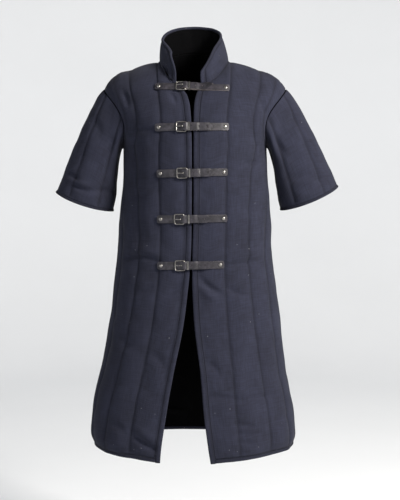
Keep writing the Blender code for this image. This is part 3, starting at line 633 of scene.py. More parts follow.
    def half_panel(self, side: Side, facing: Facing) -> Array:
        """Return all rows of a front, or of half a back, from hem to neck and shoulder."""
        levels = [self.ring_row(side, facing, height) for height in self.heights()]
        rows = [row for row, _ in levels]
        shares = levels[-1][1]
        bottom = side.value * rows[-1][:, 0]
        top, climbs = self.top_edge(side, facing)
        table = BACK_LINES if facing is B else FRONT_LINES[side]
        rolled = 1 - np.minimum(1.0, shares / read(table, "height", "first", ARMPIT_HEIGHT)) ** 1.1
        for step in self.climb_steps():
            outer = self.armhole(side, facing, step * math.pi / 2)
            inner = read(EDGE_ROLL, "climb", side.word, step) if facing is F else 0.0
            own = bottom + (top - bottom) * step
            own = own + rolled * (inner - own[0]) + shares * (outer - own[-1])
            rows.append(self.shoulder(side, facing, own, step * climbs))
        return np.array(rows)

    def front(self, side: Side) -> Net:
        """Return the net of one front, its bindings with it."""
        return Net(self.half_panel(side, F), self.columns(F), (1, 5, 8, 11, 14), side is Side.RIGHT)

    def back(self) -> Net:
        """Return the net of the back. Its columns count out from the middle, negative on the right."""
        right = self.half_panel(Side.RIGHT, B)
        left = self.half_panel(Side.LEFT, B)
        columns = self.columns(B)
        points = np.concatenate([right[:, :0:-1], left], axis=1)
        numbers = np.concatenate([-columns[:0:-1], columns])
        lines = (-13, -10, -7, -4, 0, 4, 7, 10, 13)
        return Net(points, numbers, lines, flipped=True)


@dataclass
class SleeveForm:
    """An elbow-length sleeve from its armhole to its cuff.

    Attributes:
        half_depth: Half the cuff's depth from front to back.
        front_dip: How far the cuff's front hangs.
        back_dip: How far its back hangs.
        puff: How much the top swells out of the armhole.
        underarm_push: How much the underarm stands off the body.
        start_pull: Length of the tangent at the armhole.
        end_pull: Length of the tangent at the cuff.
        rows: Rows from the armhole to the cuff's binding.
        binding: Width of the cuff's binding.
    """

    half_depth: float = 0.066
    front_dip: float = 0.009
    back_dip: float = 0.003
    puff: float = 0.36
    underarm_push: float = 0.5
    start_pull: float = 0.12
    end_pull: float = 0.16
    rows: int = 56
    binding: float = 0.009

    def net(self, side: Side, seam: Array, turns: Array) -> Net:
        """Make the sleeve's net.

        Args:
            side: Whose arm it covers.
            seam: The armhole's points from the shoulder down the front and up the back, closed.
            turns: The angle round the cuff that each point goes to.

        Returns:
            The net, round, with its quilting lines at every sixth of the way.
        """
        cuff = CUFFS[side]
        sign = side.value
        outer = np.array([sign * cuff.outer, 0, cuff.outer_height])
        inner = np.array([sign * cuff.inner, 0, cuff.inner_height])
        middle = (outer + inner) / 2
        centre = seam[:-1].mean(axis=0)
        toward = unit(middle - centre)
        sine, cosine = np.sin(turns)[:, None], np.cos(turns)[:, None]
        dip = np.where(sine > 0, self.front_dip, self.back_dip) * np.abs(sine) ** 1.5
        swing = np.concatenate([0 * sine, -self.half_depth * sine, -dip], axis=1)
        ends = middle + (outer - middle) * cosine + swing
        run = unit(ends - seam)
        radial = unit(seam - centre)
        upper = (sign * radial[:, 0] + radial[:, 2])[:, None]
        push = self.puff * np.maximum(0.0, upper) * radial
        push[:, 0] += sign * self.underarm_push * np.maximum(0.0, -upper[:, 0])
        leave = unit(run + push) * self.start_pull
        arrive = unit(toward + run) * self.end_pull
        length = np.linalg.norm(ends - seam, axis=1).mean()
        bound = 1 - self.binding / length
        shares = np.concatenate([np.linspace(0, bound, self.rows), [(1 + bound) / 2, 1.0]])
        rows = []
        for share in shares:
            point = (1 + 2 * share) * (1 - share) ** 2 * seam + share * share * (3 - 2 * share) * ends
            point = point + share * (1 - share) ** 2 * leave
            rows.append(point + share * share * (share - 1) * arrive)
        numbers = turns / (2 * math.pi) * 18
        return Net(np.array(rows), numbers, (0, 3, 6, 9, 12, 15), side is Side.RIGHT, round=True)


@dataclass
class CollarForm:
    """The stand collar on the neckline.

    Attributes:
        binding: Width of the binding along its top and ends.
        rows: Rows from the neckline to the binding.
    """

    binding: float = 0.008
    rows: int = 16

    def net(self, base: Array, seams: Array) -> Net:
        """Return the collar's net over the neckline's points at their seam numbers."""
        tops = np.array([
            [
                read(COLLAR_TOP, "seam", "side", at),
                -read(COLLAR_TOP, "seam", "forward", at),
                read(COLLAR_TOP, "seam", "height", at),
            ]
            for at in seams
        ])
        bound = 1 - self.binding / np.linalg.norm(tops - base, axis=1)
        steps = np.linspace(0, 1, self.rows)
        rows = [base + (tops - base) * (step * bound)[:, None] for step in steps]
        rows.append(base + (tops - base) * ((1 + bound) / 2)[:, None])
        rows.append(tops)
        return Net(np.array(rows), seams, (), flipped=True)


@dataclass
class Drape:
    """What wear and hanging do to the form: soft folds, dimples and creases.

    Attributes:
        fold_depth: Height of the broad folds of the skirts.
        dimple_depth: Height of the small dimples of the padding.
        wear: How much deeper than in the tables every crease is pressed.
    """

    fold_depth: float = 0.0042
    dimple_depth: float = 0.0020
    wear: float = 2.3

    def creases(self, points: Array, table: Iterable[Crease]) -> Array:
        """Return the height that a table of creases gives each point."""
        total = np.zeros(points.shape[:-1])
        for crease in table:
            facing = crease.facing.value * points[..., 1] > -0.01
            start = np.array([crease.x1, crease.height1])
            end = np.array([crease.x2, crease.height2])
            run = end - start
            length = np.linalg.norm(run)
            along = run / length
            across = np.array([-along[1], along[0]])
            flat = points[..., (0, 2)] - start
            t = flat @ along / length
            away = flat @ across - crease.bow * 4 * t * (1 - t)
            past = np.maximum(0.0, np.maximum(-t, t - 1)) * length
            ends = np.clip(1 - past / (2.5 * crease.width), 0, 1)
            body = np.sin(np.pi * np.clip(t, 0.04, 0.96)) ** 0.5
            fall = np.exp(-(away / crease.width) ** 2 / 1.4)
            total -= self.wear * crease.depth * body * ends * ends * fall * facing
        return total

    def shape(self, net: Net, table: Iterable[Crease], seed: float) -> None:
        """Press folds, dimples and creases into a net, none of them at its pinned edges."""
        points = net.points
        slow = grain(points * np.array([1.0, 1.0, 0.30]), 0.085, seed)
        quick = grain(points * np.array([1.0, 1.0, 0.75]), 0.034, seed + 4)
        low = np.clip((0.62 - points[..., 2]) / 0.5, 0.25, 1.0)
        height = self.fold_depth * low * slow + self.dimple_depth * quick
        height = height + self.creases(points, table)
        net.points = points + net.out * height[..., None]


class Garment:
    """Every net of the garment, sewn together: they share their points and normals at seams."""

    def __init__(self) -> None:
        """Cut the nets, drape them and match them along their seams."""
        self.body = BodyForm()
        self.sleeve_form = SleeveForm()
        self.collar_form = CollarForm()
        self.drape = Drape()
        self.fronts = {side: self.body.front(side) for side in Side}
        self.back = self.body.back()
        self.sleeves = {side: self._sleeve(side) for side in Side}
        self.collar = self._collar()
        self._drape_all()

    @property
    def armpit_row(self) -> int:
        """Return the row of the body's nets where the armholes start."""
        return len(self.body.heights()) - 1

    def _armhole(self, side: Side) -> Array:
        """Return the armhole's points from the shoulder down the front and up the back, closed."""
        back_column = 0 if side is Side.RIGHT else -1
        down = self.fronts[side].points[self.armpit_row:, -1][::-1]
        up = self.back.points[self.armpit_row:, back_column]
        return np.concatenate([down, up[1:]])

    def _sleeve(self, side: Side) -> Net:
        """Return one sleeve's net on its armhole."""
        seam = self._armhole(side)
        turns = np.linspace(0, 2 * math.pi, len(seam))
        return self.sleeve_form.net(side, seam, turns)

    def _neckline(self) -> tuple[Array, Array]:
        """Return the neckline's points and seam numbers, from the right front end to the left."""
        front_columns = self.body.columns(F)
        on_neck = front_columns <= 5
        right = self.fronts[Side.RIGHT].points[-1][on_neck]
        left = self.fronts[Side.LEFT].points[-1][on_neck][::-1]
        at = front_columns[on_neck]
        inside = np.abs(self.back.columns) < 4 - 1e-9
        behind = self.back.points[-1][inside]
        points = np.concatenate([right, behind, left])
        seams = np.concatenate([at, 9 + self.back.columns[inside], 18 - at[::-1]])
        return points, seams

    def _collar(self) -> Net:
        """Return the collar's net on the neckline."""
        return self.collar_form.net(*self._neckline())

    def nets(self) -> list[Net]:
        """Return every net."""
        return [*self.fronts.values(), self.back, *self.sleeves.values(), self.collar]

    def _drape_all(self) -> None:
        """Fold and crease each net, then bring the seams together again."""
        self._share_normals()
        for net in self.nets():
            net.ease_to_rim()
        for net in (*self.fronts.values(), self.back):
            self.drape.shape(net, BODY_CREASES, 1.0)
        for side, net in self.sleeves.items():
            self.drape.shape(net, SLEEVE_CREASES[side], 1.0)
        self.drape.shape(self.collar, COLLAR_CREASES, 1.0)
        self._close_seams()

    def _close_seams(self) -> None:
        """Put the points that two nets share at their middle, and fit sleeves and collar to them.

        The side columns of front and back are joined in every row, so also along the armholes,
        which this draws together to a narrow slot. They should be joined up to the armpit only.
        """
        armpit = self.armpit_row
        for side, front in self.fronts.items():
            column = 0 if side is Side.RIGHT else -1
            self._meet(front.points, (slice(None), -1), self.back.points, (slice(None), column))
            on_seam = np.flatnonzero(front.columns >= 5 - 1e-9)
            count = len(on_seam)
            back_part = slice(count - 1, None, -1) if side is Side.RIGHT else slice(-count, None)
            back_index = np.arange(self.back.points.shape[1])[back_part]
            self._meet(front.points, (-1, on_seam), self.back.points, (-1, back_index))
            sleeve = self.sleeves[side]
            half = front.points.shape[0] - armpit
            rows = np.arange(armpit, front.points.shape[0])[::-1]
            sleeve.points[0, :half] = front.points[rows, -1]
            sleeve.points[0, half - 1:] = self.back.points[armpit:, column]
            sleeve.points[:, -1] = sleeve.points[:, 0]
        points, _ = self._neckline()
        self.collar.points[0] = points

    @staticmethod
    def _meet(first: Array, at: tuple[Any, Any], second: Array, to: tuple[Any, Any]) -> None:
        """Move two matching runs of points to their common middle."""
        middle = (first[at] + second[to]) / 2
        first[at] = middle
        second[to] = middle

    def _share_normals(self) -> None:
        """Give points at the same place one common way out."""
        totals: dict[tuple[float, ...], Array] = {}
        edges: list[tuple[Net, int, int, tuple[float, ...]]] = []
        for net in self.nets():
            rows, columns = net.points.shape[:2]
            rim = {(r, c) for r in range(rows) for c in (0, columns - 1)}
            rim |= {(r, c) for c in range(columns) for r in (0, rows - 1)}
            for r, c in sorted(rim):
                key = tuple(np.round(net.points[r, c], 5) + 0.0)
                totals[key] = totals.get(key, 0) + net.out[r, c]
                edges.append((net, r, c, key))
        for net, r, c, key in edges:
            net.out[r, c] = unit(totals[key])


# ------------------------------------------------------------------ finishes


def colour(code: str) -> tuple[float, float, float, float]:
    """Return a linear colour from an sRGB hex code."""
    channels = [int(code[i:i + 2], 16) / 255 for i in (1, 3, 5)]
    linear = [c / 12.92 if c <= 0.04045 else ((c + 0.055) / 1.055) ** 2.4 for c in channels]
    return (*linear, 1.0)


class Graph:
    """A material's node tree, with one way to add a node."""

    def __init__(self, name: str) -> None:
        """Start a material that has only its output and Principled shader."""
        self.material = bpy.data.materials.new(name)
        self.material.use_nodes = True
        self.tree = self.material.node_tree
        self.shader = self.tree.nodes["Principled BSDF"]

    def add(self, kind: str, settings: dict[str, Any] | None = None, **inputs: Any) -> bpy.types.Node:
        """Add a node.

        Args:
            kind: The node's type name without its ShaderNode prefix.
            settings: Properties to set on the node.
            **inputs: Sockets by name, with _ for a space, or by in0, in1 and so on. A value is a
                socket to link from, or a constant.

        Returns:
            The node.
        """
        node = self.tree.nodes.new("ShaderNode" + kind)
        for name, value in (settings or {}).items():
            setattr(node, name, value)
        for name, value in inputs.items():
            index = int(name[2:]) if name[:2] == "in" and name[2:].isdigit() else name.replace("_", " ")
            self.join(node.inputs[index], value)
        return node

    def join(self, socket: bpy.types.NodeSocket, value: Any) -> None:
        """Link a socket to another, or set its constant."""
        if isinstance(value, bpy.types.NodeSocket):
            self.tree.links.new(value, socket)
        else:
            socket.default_value = value

    def finish(self, **inputs: Any) -> bpy.types.Material:
        """Set the Principled shader's sockets and return the material."""
        for name, value in inputs.items():
            self.join(self.shader.inputs[name.replace("_", " ")], value)
        return self.material


@dataclass(frozen=True)
class QuiltedCanvas:
    """Plain-woven cotton canvas, dyed slate, over wadding.

    Matt and slightly furry, so it gives a dull face with a faint pale sheen at its edges. Threads
    are under a millimetre apart; they are drawn at 2.4 mm so that the weave shows at all.
    """

    name: str = "slate_cotton_canvas"
    base: str = "#1b1c25"
    # painted shade: the near-black that the cloth is darkened towards along quilting lines and sewn edges
    deep: str = "#0d0d11"
    faded: str = "#282a38"
    lint: str = "#8a8b92"
    thread_mm: float = 2.4
    slub_mm: float = 9.0
    lint_spacing_mm: float = 20.0
    stitch_mm: float = 4.2
    roughness: float = 0.93
    sheen: float = 0.02

    def make(self) -> bpy.types.Material:
        """Build the material. It reads the Cloth and Stitch UV maps, both in metres."""
        g = Graph(self.name)
        cloth = g.add("UVMap", {"uv_map": "Cloth"}).outputs["UV"]
        stitch = g.add("UVMap", {"uv_map": "Stitch"}).outputs["UV"]
        warp = self._threads(g, cloth, "X")
        weft = self._threads(g, cloth, "Y")
        weave = g.add("Math", {"operation": "MULTIPLY"}, in0=warp, in1=weft).outputs[0]
        slub = self._slubs(g, cloth)
        mottle = g.add("TexNoise", Vector=cloth, Scale=14.0, Detail=3.0, Roughness=0.6).outputs[0]
        lines = g.add("SeparateXYZ", in0=stitch).outputs
        near = g.add("Math", {"operation": "DIVIDE"}, in0=lines[0], in1=0.0026).outputs[0]
        shade = self._painted_shade(g, near)
        mix = g.add(
            "MapRange", in0=mottle, in1=0.25, in2=0.75, in3=0.15, in4=0.62
        ).outputs[0]
        mix = g.add("Math", {"operation": "ADD"}, in0=mix, in1=self._scaled(g, slub, 1.7, -0.85)).outputs[0]
        mix = g.add("Math", {"operation": "ADD"}, in0=mix, in1=self._scaled(g, weave, 0.16, -0.05)).outputs[0]
        ground = g.add(
            "Mix", {"data_type": "RGBA", "clamp_factor": True}, in0=mix,
            in6=colour(self.base), in7=colour(self.faded),
        ).outputs[2]
        # painted shade: darken the cloth towards near-black along each quilting line and sewn edge, where the
        # grooves lie in shade
        dark = g.add("Math", {"operation": "MULTIPLY"}, in0=shade, in1=0.6).outputs[0]
        ground = g.add(
            "Mix", {"data_type": "RGBA"}, in0=dark, in6=ground, in7=colour(self.deep)
        ).outputs[2]
        ground = g.add(
            "Mix", {"data_type": "RGBA"}, in0=self._lint(g, cloth), in6=ground, in7=colour(self.lint)
        ).outputs[2]
        thread = self._stitches(g, lines)
        ground = g.add(
            "Mix", {"data_type": "RGBA"}, in0=thread, in6=ground, in7=colour(self.faded)
        ).outputs[2]
        relief = g.add("Math", {"operation": "ADD"}, in0=self._scaled(g, weave, 0.35, 0), in1=slub).outputs[0]
        raised = self._scaled(g, thread, 1.2, 0)
        relief = g.add("Math", {"operation": "ADD"}, in0=relief, in1=raised).outputs[0]
        bump = g.add("Bump", Strength=0.55, Distance=0.0005, Height=relief).outputs[0]
        return g.finish(
            Base_Color=ground, Roughness=self.roughness, Normal=bump,
            Sheen_Weight=self.sheen, Sheen_Roughness=0.5, Specular_IOR_Level=0.08,
        )

    def _scaled(self, g: Graph, value: Any, factor: float, shift: float) -> bpy.types.NodeSocket:
        """Return value times factor plus shift."""
        return g.add("Math", {"operation": "MULTIPLY_ADD"}, in0=value, in1=factor, in2=shift).outputs[0]

    def _threads(self, g: Graph, cloth: Any, axis: str) -> bpy.types.NodeSocket:
        """Return bands across one direction of the cloth, one to a thread."""
        per_metre = 1000 / self.thread_mm / 20 * math.pi
        return g.add(
            "TexWave", {"bands_direction": axis, "wave_profile": "SIN"},
            Vector=cloth, Scale=per_metre, Distortion=1.2, Detail=2.0, Detail_Scale=0.6,
        ).outputs[1]

    def _slubs(self, g: Graph, cloth: Any) -> bpy.types.NodeSocket:
        """Return the uneven thickness of the threads, long along warp and weft."""
        found = []
        for stretch in ((1.0, 0.12, 1.0), (0.12, 1.0, 1.0)):
            along = g.add("Mapping", Vector=cloth, Scale=stretch).outputs[0]
            found.append(
                g.add("TexNoise", Vector=along, Scale=1000 / self.slub_mm * 2.2, Detail=3.0).outputs[0]
            )
        both = g.add("Math", {"operation": "ADD"}, in0=found[0], in1=found[1]).outputs[0]
        return self._scaled(g, both, 0.5, 0.0)

    def _painted_shade(self, g: Graph, near: Any) -> bpy.types.NodeSocket:
        """Return the strength of the painted shade: one on a quilting line, falling away beside it."""
        minus = g.add("Math", {"operation": "MULTIPLY"}, in0=near, in1=-1.0).outputs[0]
        return g.add("Math", {"operation": "EXPONENT"}, in0=minus).outputs[0]

    def _lint(self, g: Graph, cloth: Any) -> bpy.types.NodeSocket:
        """Return sparse specks of pale lint, about a millimetre across."""
        cells = g.add("TexVoronoi", Vector=cloth, Scale=1000 / self.lint_spacing_mm, Randomness=1.0)
        close = g.add("Math", {"operation": "LESS_THAN"}, in0=cells.outputs["Distance"], in1=0.045).outputs[0]
        keep = g.add("SeparateColor", in0=cells.outputs["Color"]).outputs[0]
        some = g.add("Math", {"operation": "GREATER_THAN"}, in0=keep, in1=0.55).outputs[0]
        both = g.add("Math", {"operation": "MULTIPLY"}, in0=close, in1=some).outputs[0]
        return self._scaled(g, both, 0.55, 0.0)

    def _stitches(self, g: Graph, lines: Any) -> bpy.types.NodeSocket:
        """Return the thread of the quilting stitches, a dash every few millimetres on the lines."""
        on_line = g.add("Math", {"operation": "LESS_THAN"}, in0=lines[0], in1=0.0006).outputs[0]
        along = g.add("Math", {"operation": "DIVIDE"}, in0=lines[1], in1=self.stitch_mm / 1000).outputs[0]
        turn = g.add("Math", {"operation": "FRACT"}, in0=along).outputs[0]
        dash = g.add("Math", {"operation": "LESS_THAN"}, in0=turn, in1=0.62).outputs[0]
        both = g.add("Math", {"operation": "MULTIPLY"}, in0=on_line, in1=dash).outputs[0]
        return self._scaled(g, both, 0.35, 0.0)


@dataclass(frozen=True)
class LiningPaintedShade:
    """Black cotton lining, plain woven. Its near-black is partly the lining's own colour and partly painted
    shade of the hollow inside, so the inside reads as dark.
    """

    name: str = "black_lining_painted_shade"
    # near-black: the lining's own black, darkened further as painted shade of the hollow inside
    base: str = "#040405"
    roughness: float = 0.96

    def make(self) -> bpy.types.Material:
        """Build the material."""
        g = Graph(self.name)
        place = g.add("TexCoord").outputs["Object"]
        folds = g.add("TexNoise", Vector=place, Scale=260.0, Detail=2.0).outputs[0]
        tone = g.add(
            "Mix", {"data_type": "RGBA"}, in0=folds, in6=colour(self.base), in7=colour("#070708")
        ).outputs[2]
        bump = g.add("Bump", Strength=0.3, Distance=0.0004, Height=folds).outputs[0]
        return g.finish(Base_Color=tone, Roughness=self.roughness, Normal=bump, Specular_IOR_Level=0.02)


@dataclass(frozen=True)
class BridleLeather:
    """Vegetable-tanned cowhide, dyed black and waxed.

    It has a soft half-matt shine, a fine pebbled grain and paler rubbed places. The grain is about a
    millimetre; it is drawn at 1.8 mm so that it shows.
    """

    name: str = "black_waxed_leather"
    base: str = "#19181d"
    rubbed: str = "#37343b"
    grain_mm: float = 1.8
    roughness: float = 0.46

    def make(self) -> bpy.types.Material:
        """Build the material."""
        g = Graph(self.name)
        place = g.add("TexCoord").outputs["Object"]
        cells = g.add(
            "TexVoronoi", {"feature": "DISTANCE_TO_EDGE"}, Vector=place, Scale=1000 / self.grain_mm
        ).outputs["Distance"]
        wear = g.add("TexNoise", Vector=place, Scale=90.0, Detail=4.0, Roughness=0.65).outputs[0]
        worn = g.add("MapRange", in0=wear, in1=0.42, in2=0.72, in3=0.0, in4=0.8).outputs[0]
        tone = g.add(
            "Mix", {"data_type": "RGBA"}, in0=worn, in6=colour(self.base), in7=colour(self.rubbed)
        ).outputs[2]
        gloss = g.add(
            "MapRange", in0=wear, in1=0.3, in2=0.7, in3=self.roughness + 0.1, in4=self.roughness - 0.06
        ).outputs[0]
        bump = g.add("Bump", Strength=0.35, Distance=0.0003, Height=cells).outputs[0]
        return g.finish(Base_Color=tone, Roughness=gloss, Normal=bump, Specular_IOR_Level=0.3)


@dataclass(frozen=True)
class LeatherEdgePaintedHighlight:
    """The cut edge of the hide, slicked. Its pale grey is a painted highlight: the line of light that the
    edge catches is painted into its colour.
    """

    name: str = "leather_edge_painted_highlight"
    # painted highlight: pale grey that stands in for the light caught along the cut edges
    base: str = "#9b9190"
    roughness: float = 0.5

    def make(self) -> bpy.types.Material:
        """Build the material."""
        g = Graph(self.name)
        place = g.add("TexCoord").outputs["Object"]
        fibre = g.add("TexNoise", Vector=place, Scale=420.0, Detail=3.0).outputs[0]
        tone = g.add(
            "Mix", {"data_type": "RGBA"}, in0=fibre, in6=colour("#6a6361"), in7=colour(self.base)
        ).outputs[2]
        bump = g.add("Bump", Strength=0.3, Distance=0.0003, Height=fibre).outputs[0]
        return g.finish(Base_Color=tone, Roughness=self.roughness, Normal=bump)


@dataclass(frozen=True)
class NickelPlate:
    """Nickel plate on pressed or bent steel: bright, a little warm, with fine polishing marks."""

    name: str = "polished_nickel_plate"
    base: str = "#9c9995"
    roughness: float = 0.26

    def make(self) -> bpy.types.Material:
        """Build the material."""
        g = Graph(self.name)
        place = g.add("TexCoord").outputs["Object"]
        marks = g.add("TexNoise", Vector=place, Scale=700.0, Detail=2.0).outputs[0]
        tarnish = g.add("TexNoise", Vector=place, Scale=160.0, Detail=3.0).outputs[0]
        tone = g.add(
            "Mix", {"data_type": "RGBA"}, in0=tarnish, in6=colour("#4e4c4a"), in7=colour(self.base)
        ).outputs[2]
        gloss = g.add(
            "MapRange", in0=marks, in1=0.3, in2=0.7, in3=self.roughness - 0.05, in4=self.roughness + 0.12
        ).outputs[0]
        return g.finish(Base_Color=tone, Roughness=gloss, Metallic=1.0)


@dataclass(frozen=True)
class PaintedPaper:
    """Matt painted paper sweep, pale warm grey. It is the studio's floor and backdrop."""

    name: str = "studio_paper"
    base: str = "#d3d5d8"
    glow: float = 0.20

    def make(self) -> bpy.types.Material:
        """Build the material."""
        g = Graph(self.name)
        place = g.add("TexCoord").outputs["Object"]
        cloud = g.add("TexNoise", Vector=place, Scale=1.6, Detail=3.0).outputs[0]
        tone = g.add(
            "Mix", {"data_type": "RGBA"}, in0=cloud, in6=colour(self.base), in7=colour("#cdcfd2")
        ).outputs[2]
        return g.finish(
            Base_Color=tone, Roughness=0.95, Specular_IOR_Level=0.1,
            Emission_Color=colour(self.base), Emission_Strength=self.glow,
        )


class Finishes:
    """Every material, made once."""

    def __init__(self) -> None:
        """Build the materials."""
        self.canvas = QuiltedCanvas().make()
        self.lining = LiningPaintedShade().make()
        self.leather = BridleLeather().make()
        self.edge = LeatherEdgePaintedHighlight().make()
        self.nickel = NickelPlate().make()
        self.paper = PaintedPaper().make()


# ------------------------------------------------------------------ making pieces


def settle(name: str, shape: bmesh.types.BMesh, materials: Sequence[bpy.types.Material]) -> bpy.types.Object:
    """Turn a bmesh into a smooth object that rides on the garment.

    Args:
        name: The object's name.
        shape: The finished bmesh, which is freed.
        materials: The object's materials in slot order.

    Returns:
        The new object.
    """
    mesh = bpy.data.meshes.new(name)
    shape.to_mesh(mesh)
    shape.free()
    mesh.shade_smooth()
    for material in materials:
        mesh.materials.append(material)
    piece = bpy.data.objects.new(name, mesh)
    bpy.context.scene.collection.objects.link(piece)
    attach(piece, "root")
    return piece


def lowered(points: Array) -> Array:
    """Return points moved from heights above the hem to the model's own frame."""
    return points - np.array([0.0, 0.0, ORIGIN_HEIGHT])


def laid_grid(
    places: Array, out: Array, cloth: Array | None = None, stitch: Array | None = None,
    lining_from: int | None = None, shape: bmesh.types.BMesh | None = None,
) -> bmesh.types.BMesh:
    """Lay a plain grid on rows and columns of places, its faces looking out.

    Args:
        places: Rows by columns of points in the model's frame.
        out: The way out at each, which can be rough.
        cloth: The same of the Cloth UV map, in metres.
        stitch: The same of the Stitch UV map: distance to a line, and length along it.
        lining_from: Faces from this row on take the second material.
        shape: A bmesh to lay it in. A new one is made without it.

    Returns:
        The laid grid, its edges joined where they meet.
    """
    rows, columns = places.shape[:2]
    flat = np.zeros((rows, columns, 2))
    if shape is None:
        shape = bmesh.new()
        shape.loops.layers.uv.new("Cloth")
        shape.loops.layers.uv.new("Stitch")
    vertices = bmesh.ops.create_grid(shape, x_segments=columns - 1, y_segments=rows - 1, size=1.0)["verts"]
    layers = shape.loops.layers.uv
    maps = [
        (layers["Cloth"], flat if cloth is None else cloth),
        (layers["Stitch"], flat if stitch is None else stitch),
    ]
    numbers = {}
    for vertex in vertices:
        column = round((vertex.co.x + 1) / 2 * (columns - 1))
        row = round((vertex.co.y + 1) / 2 * (rows - 1))
        numbers[vertex] = (row, column)
    faces = [face for face in shape.faces if face.verts[0] in numbers]
    for face in faces:
        for loop in face.loops:
            for layer, values in maps:
                loop[layer].uv = values[numbers[loop.vert]]
        if lining_from is not None and min(numbers[v][0] for v in face.verts) >= lining_from:
            face.material_index = 1
    for vertex, at in numbers.items():
        vertex.co = places[at]
    shape.normal_update()
    agree = sum(f.normal.dot(Vector(out[numbers[f.verts[0]]])) * f.calc_area() for f in faces)
    if agree < 0:
        bmesh.ops.reverse_faces(shape, faces=faces)
    bmesh.ops.remove_doubles(shape, verts=shape.verts[:], dist=1e-6)
    return shape


@dataclass
class QuiltedPanel:
    """One panel of outer canvas, wadding and lining, quilted in upright channels.

    Attributes:
        name: The piece's name, and its node's.
        net: The panel's part of the sewn form.
        flat: Width and length of the cut, in metres. Not used.
        area: Flat area of the cut, in square metres. Not used.
        wall: Thickness where the wadding is full.
        groove: How deep a quilting line pulls in, sharp and close to the line.
        groove_width: Reach of that, in metres.
        pillow: How much lower the cloth is beside a line than between two.
        pillow_width: Reach of that, in metres.
        seam_depth: How deep the piece's own edges lie, as its neighbours' do.
        pucker: Height of the small gathers along the stitching.
    """

    name: str
    net: Net
    flat: tuple[float, float]
    area: float
    wall: float = 0.0068
    groove: float = 0.0017
    groove_width: float = 0.0028
    pillow: float = 0.0032
    pillow_width: float = 0.014
    seam_depth: float = 0.0022
    pucker: float = 0.0007
    fade: Callable[[Net], Array] | None = None

    def edge_distances(self) -> Array:
        """Return each point's distance to the nearest of the piece's sewn edges."""
        across = lengthwise(self.net.points)
        along = lengthwise(self.net.points.swapaxes(0, 1)).T
        ends = np.minimum(along, along[-1:] - along)
        if self.net.round:
            return ends
        return np.minimum(ends, np.minimum(across, across[:, -1:] - across))

    def relief(self) -> Array:
        """Return the outer face's height over the form at each point."""
        lines = self.net.line_distances()
        edge = self.edge_distances()
        uneven = 1 + 0.35 * grain(self.net.points, 0.05, 9.0)
        strength = uneven if self.fade is None else uneven * self.fade(self.net)
        gather = grain(self.net.points * np.array([0.4, 0.4, 1.0]), 0.0075, 2.0)
        height = -self.groove * strength * np.exp(-lines / self.groove_width)
        height -= self.pillow * strength * np.exp(-lines / self.pillow_width)
        height += self.pucker * strength * gather * np.exp(-lines / 0.011)
        height -= 0.5 * self.pillow * np.exp(-edge / self.pillow_width)
        sewn = np.exp(-((edge / 0.004) ** 2))
        return np.maximum(height, -0.0046) * (1 - sewn) - self.seam_depth * sewn

    def build(self, finishes: Finishes) -> bpy.types.Object:
        """Lay the outer cloth, give it its padded wall, and dress it."""
        net = self.net
        relief = self.relief()
        across = lengthwise(net.points)
        along = lengthwise(net.points.swapaxes(0, 1)).T
        cloth = np.stack([across - across[:, :1], along], axis=-1)
        # Stitch UV: distance to the nearest quilting line or sewn edge, which places the stitches and the
        # painted shade along them
        stitch = np.stack([np.minimum(net.line_distances(), self.edge_distances() + 0.0015), along], axis=-1)
        full = np.clip(self.wall + 1.55 * relief, 0.0011, self.wall)
        outer = lowered(net.points + net.out * relief[..., None])
        inner = outer - net.out * full[..., None]
        shape = laid_grid(
            np.concatenate([outer, inner[::-1], outer[:1]]),
            np.concatenate([net.out, -net.out[::-1], net.out[:1]]),
            np.concatenate([cloth, cloth[::-1], cloth[:1]]),
            np.concatenate([stitch, stitch[::-1], stitch[:1]]),
            lining_from=len(outer),
        )
        if not net.round:
            self._close_ends(shape, outer, inner, cloth)
        # the inner faces take the near-black lining, which is partly painted shade
        piece = settle(self.name + "_cloth", shape, (finishes.canvas, finishes.lining))
        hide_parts(self.name)
        return piece

    def _close_ends(self, shape: bmesh.types.BMesh, outer: Array, inner: Array, cloth: Array) -> None:
        """Close the wall along the first and last columns."""
        for end, beside in ((0, 1), (-1, -2)):
            places = np.stack([outer[:, end], inner[:, end]], axis=1)
            away = np.repeat((outer[:, end] - outer[:, beside])[:, None], 2, axis=1)
            laid_grid(places, away, np.repeat(cloth[:, end:][:, :1], 2, axis=1), shape=shape)


class BindingStation(NamedTuple):
    """A fold of a binding's profile: share of its width in from the edge, and height over the form."""

    inward: float
    rise: float


BINDING_PROFILE = (
    BindingStation(1.00, -0.0028),
    BindingStation(0.96, -0.0018),
    BindingStation(0.86, -0.0013),
    BindingStation(0.60, -0.0007),
    BindingStation(0.30, -0.0008),
    BindingStation(0.12, -0.0014),
    BindingStation(0.02, -0.0024),
    BindingStation(-0.02, -0.0036),
    BindingStation(0.02, -0.0050),
    BindingStation(0.12, -0.0062),
    BindingStation(0.40, -0.0070),
    BindingStation(0.86, -0.0070),
    BindingStation(1.00, -0.0060),
)


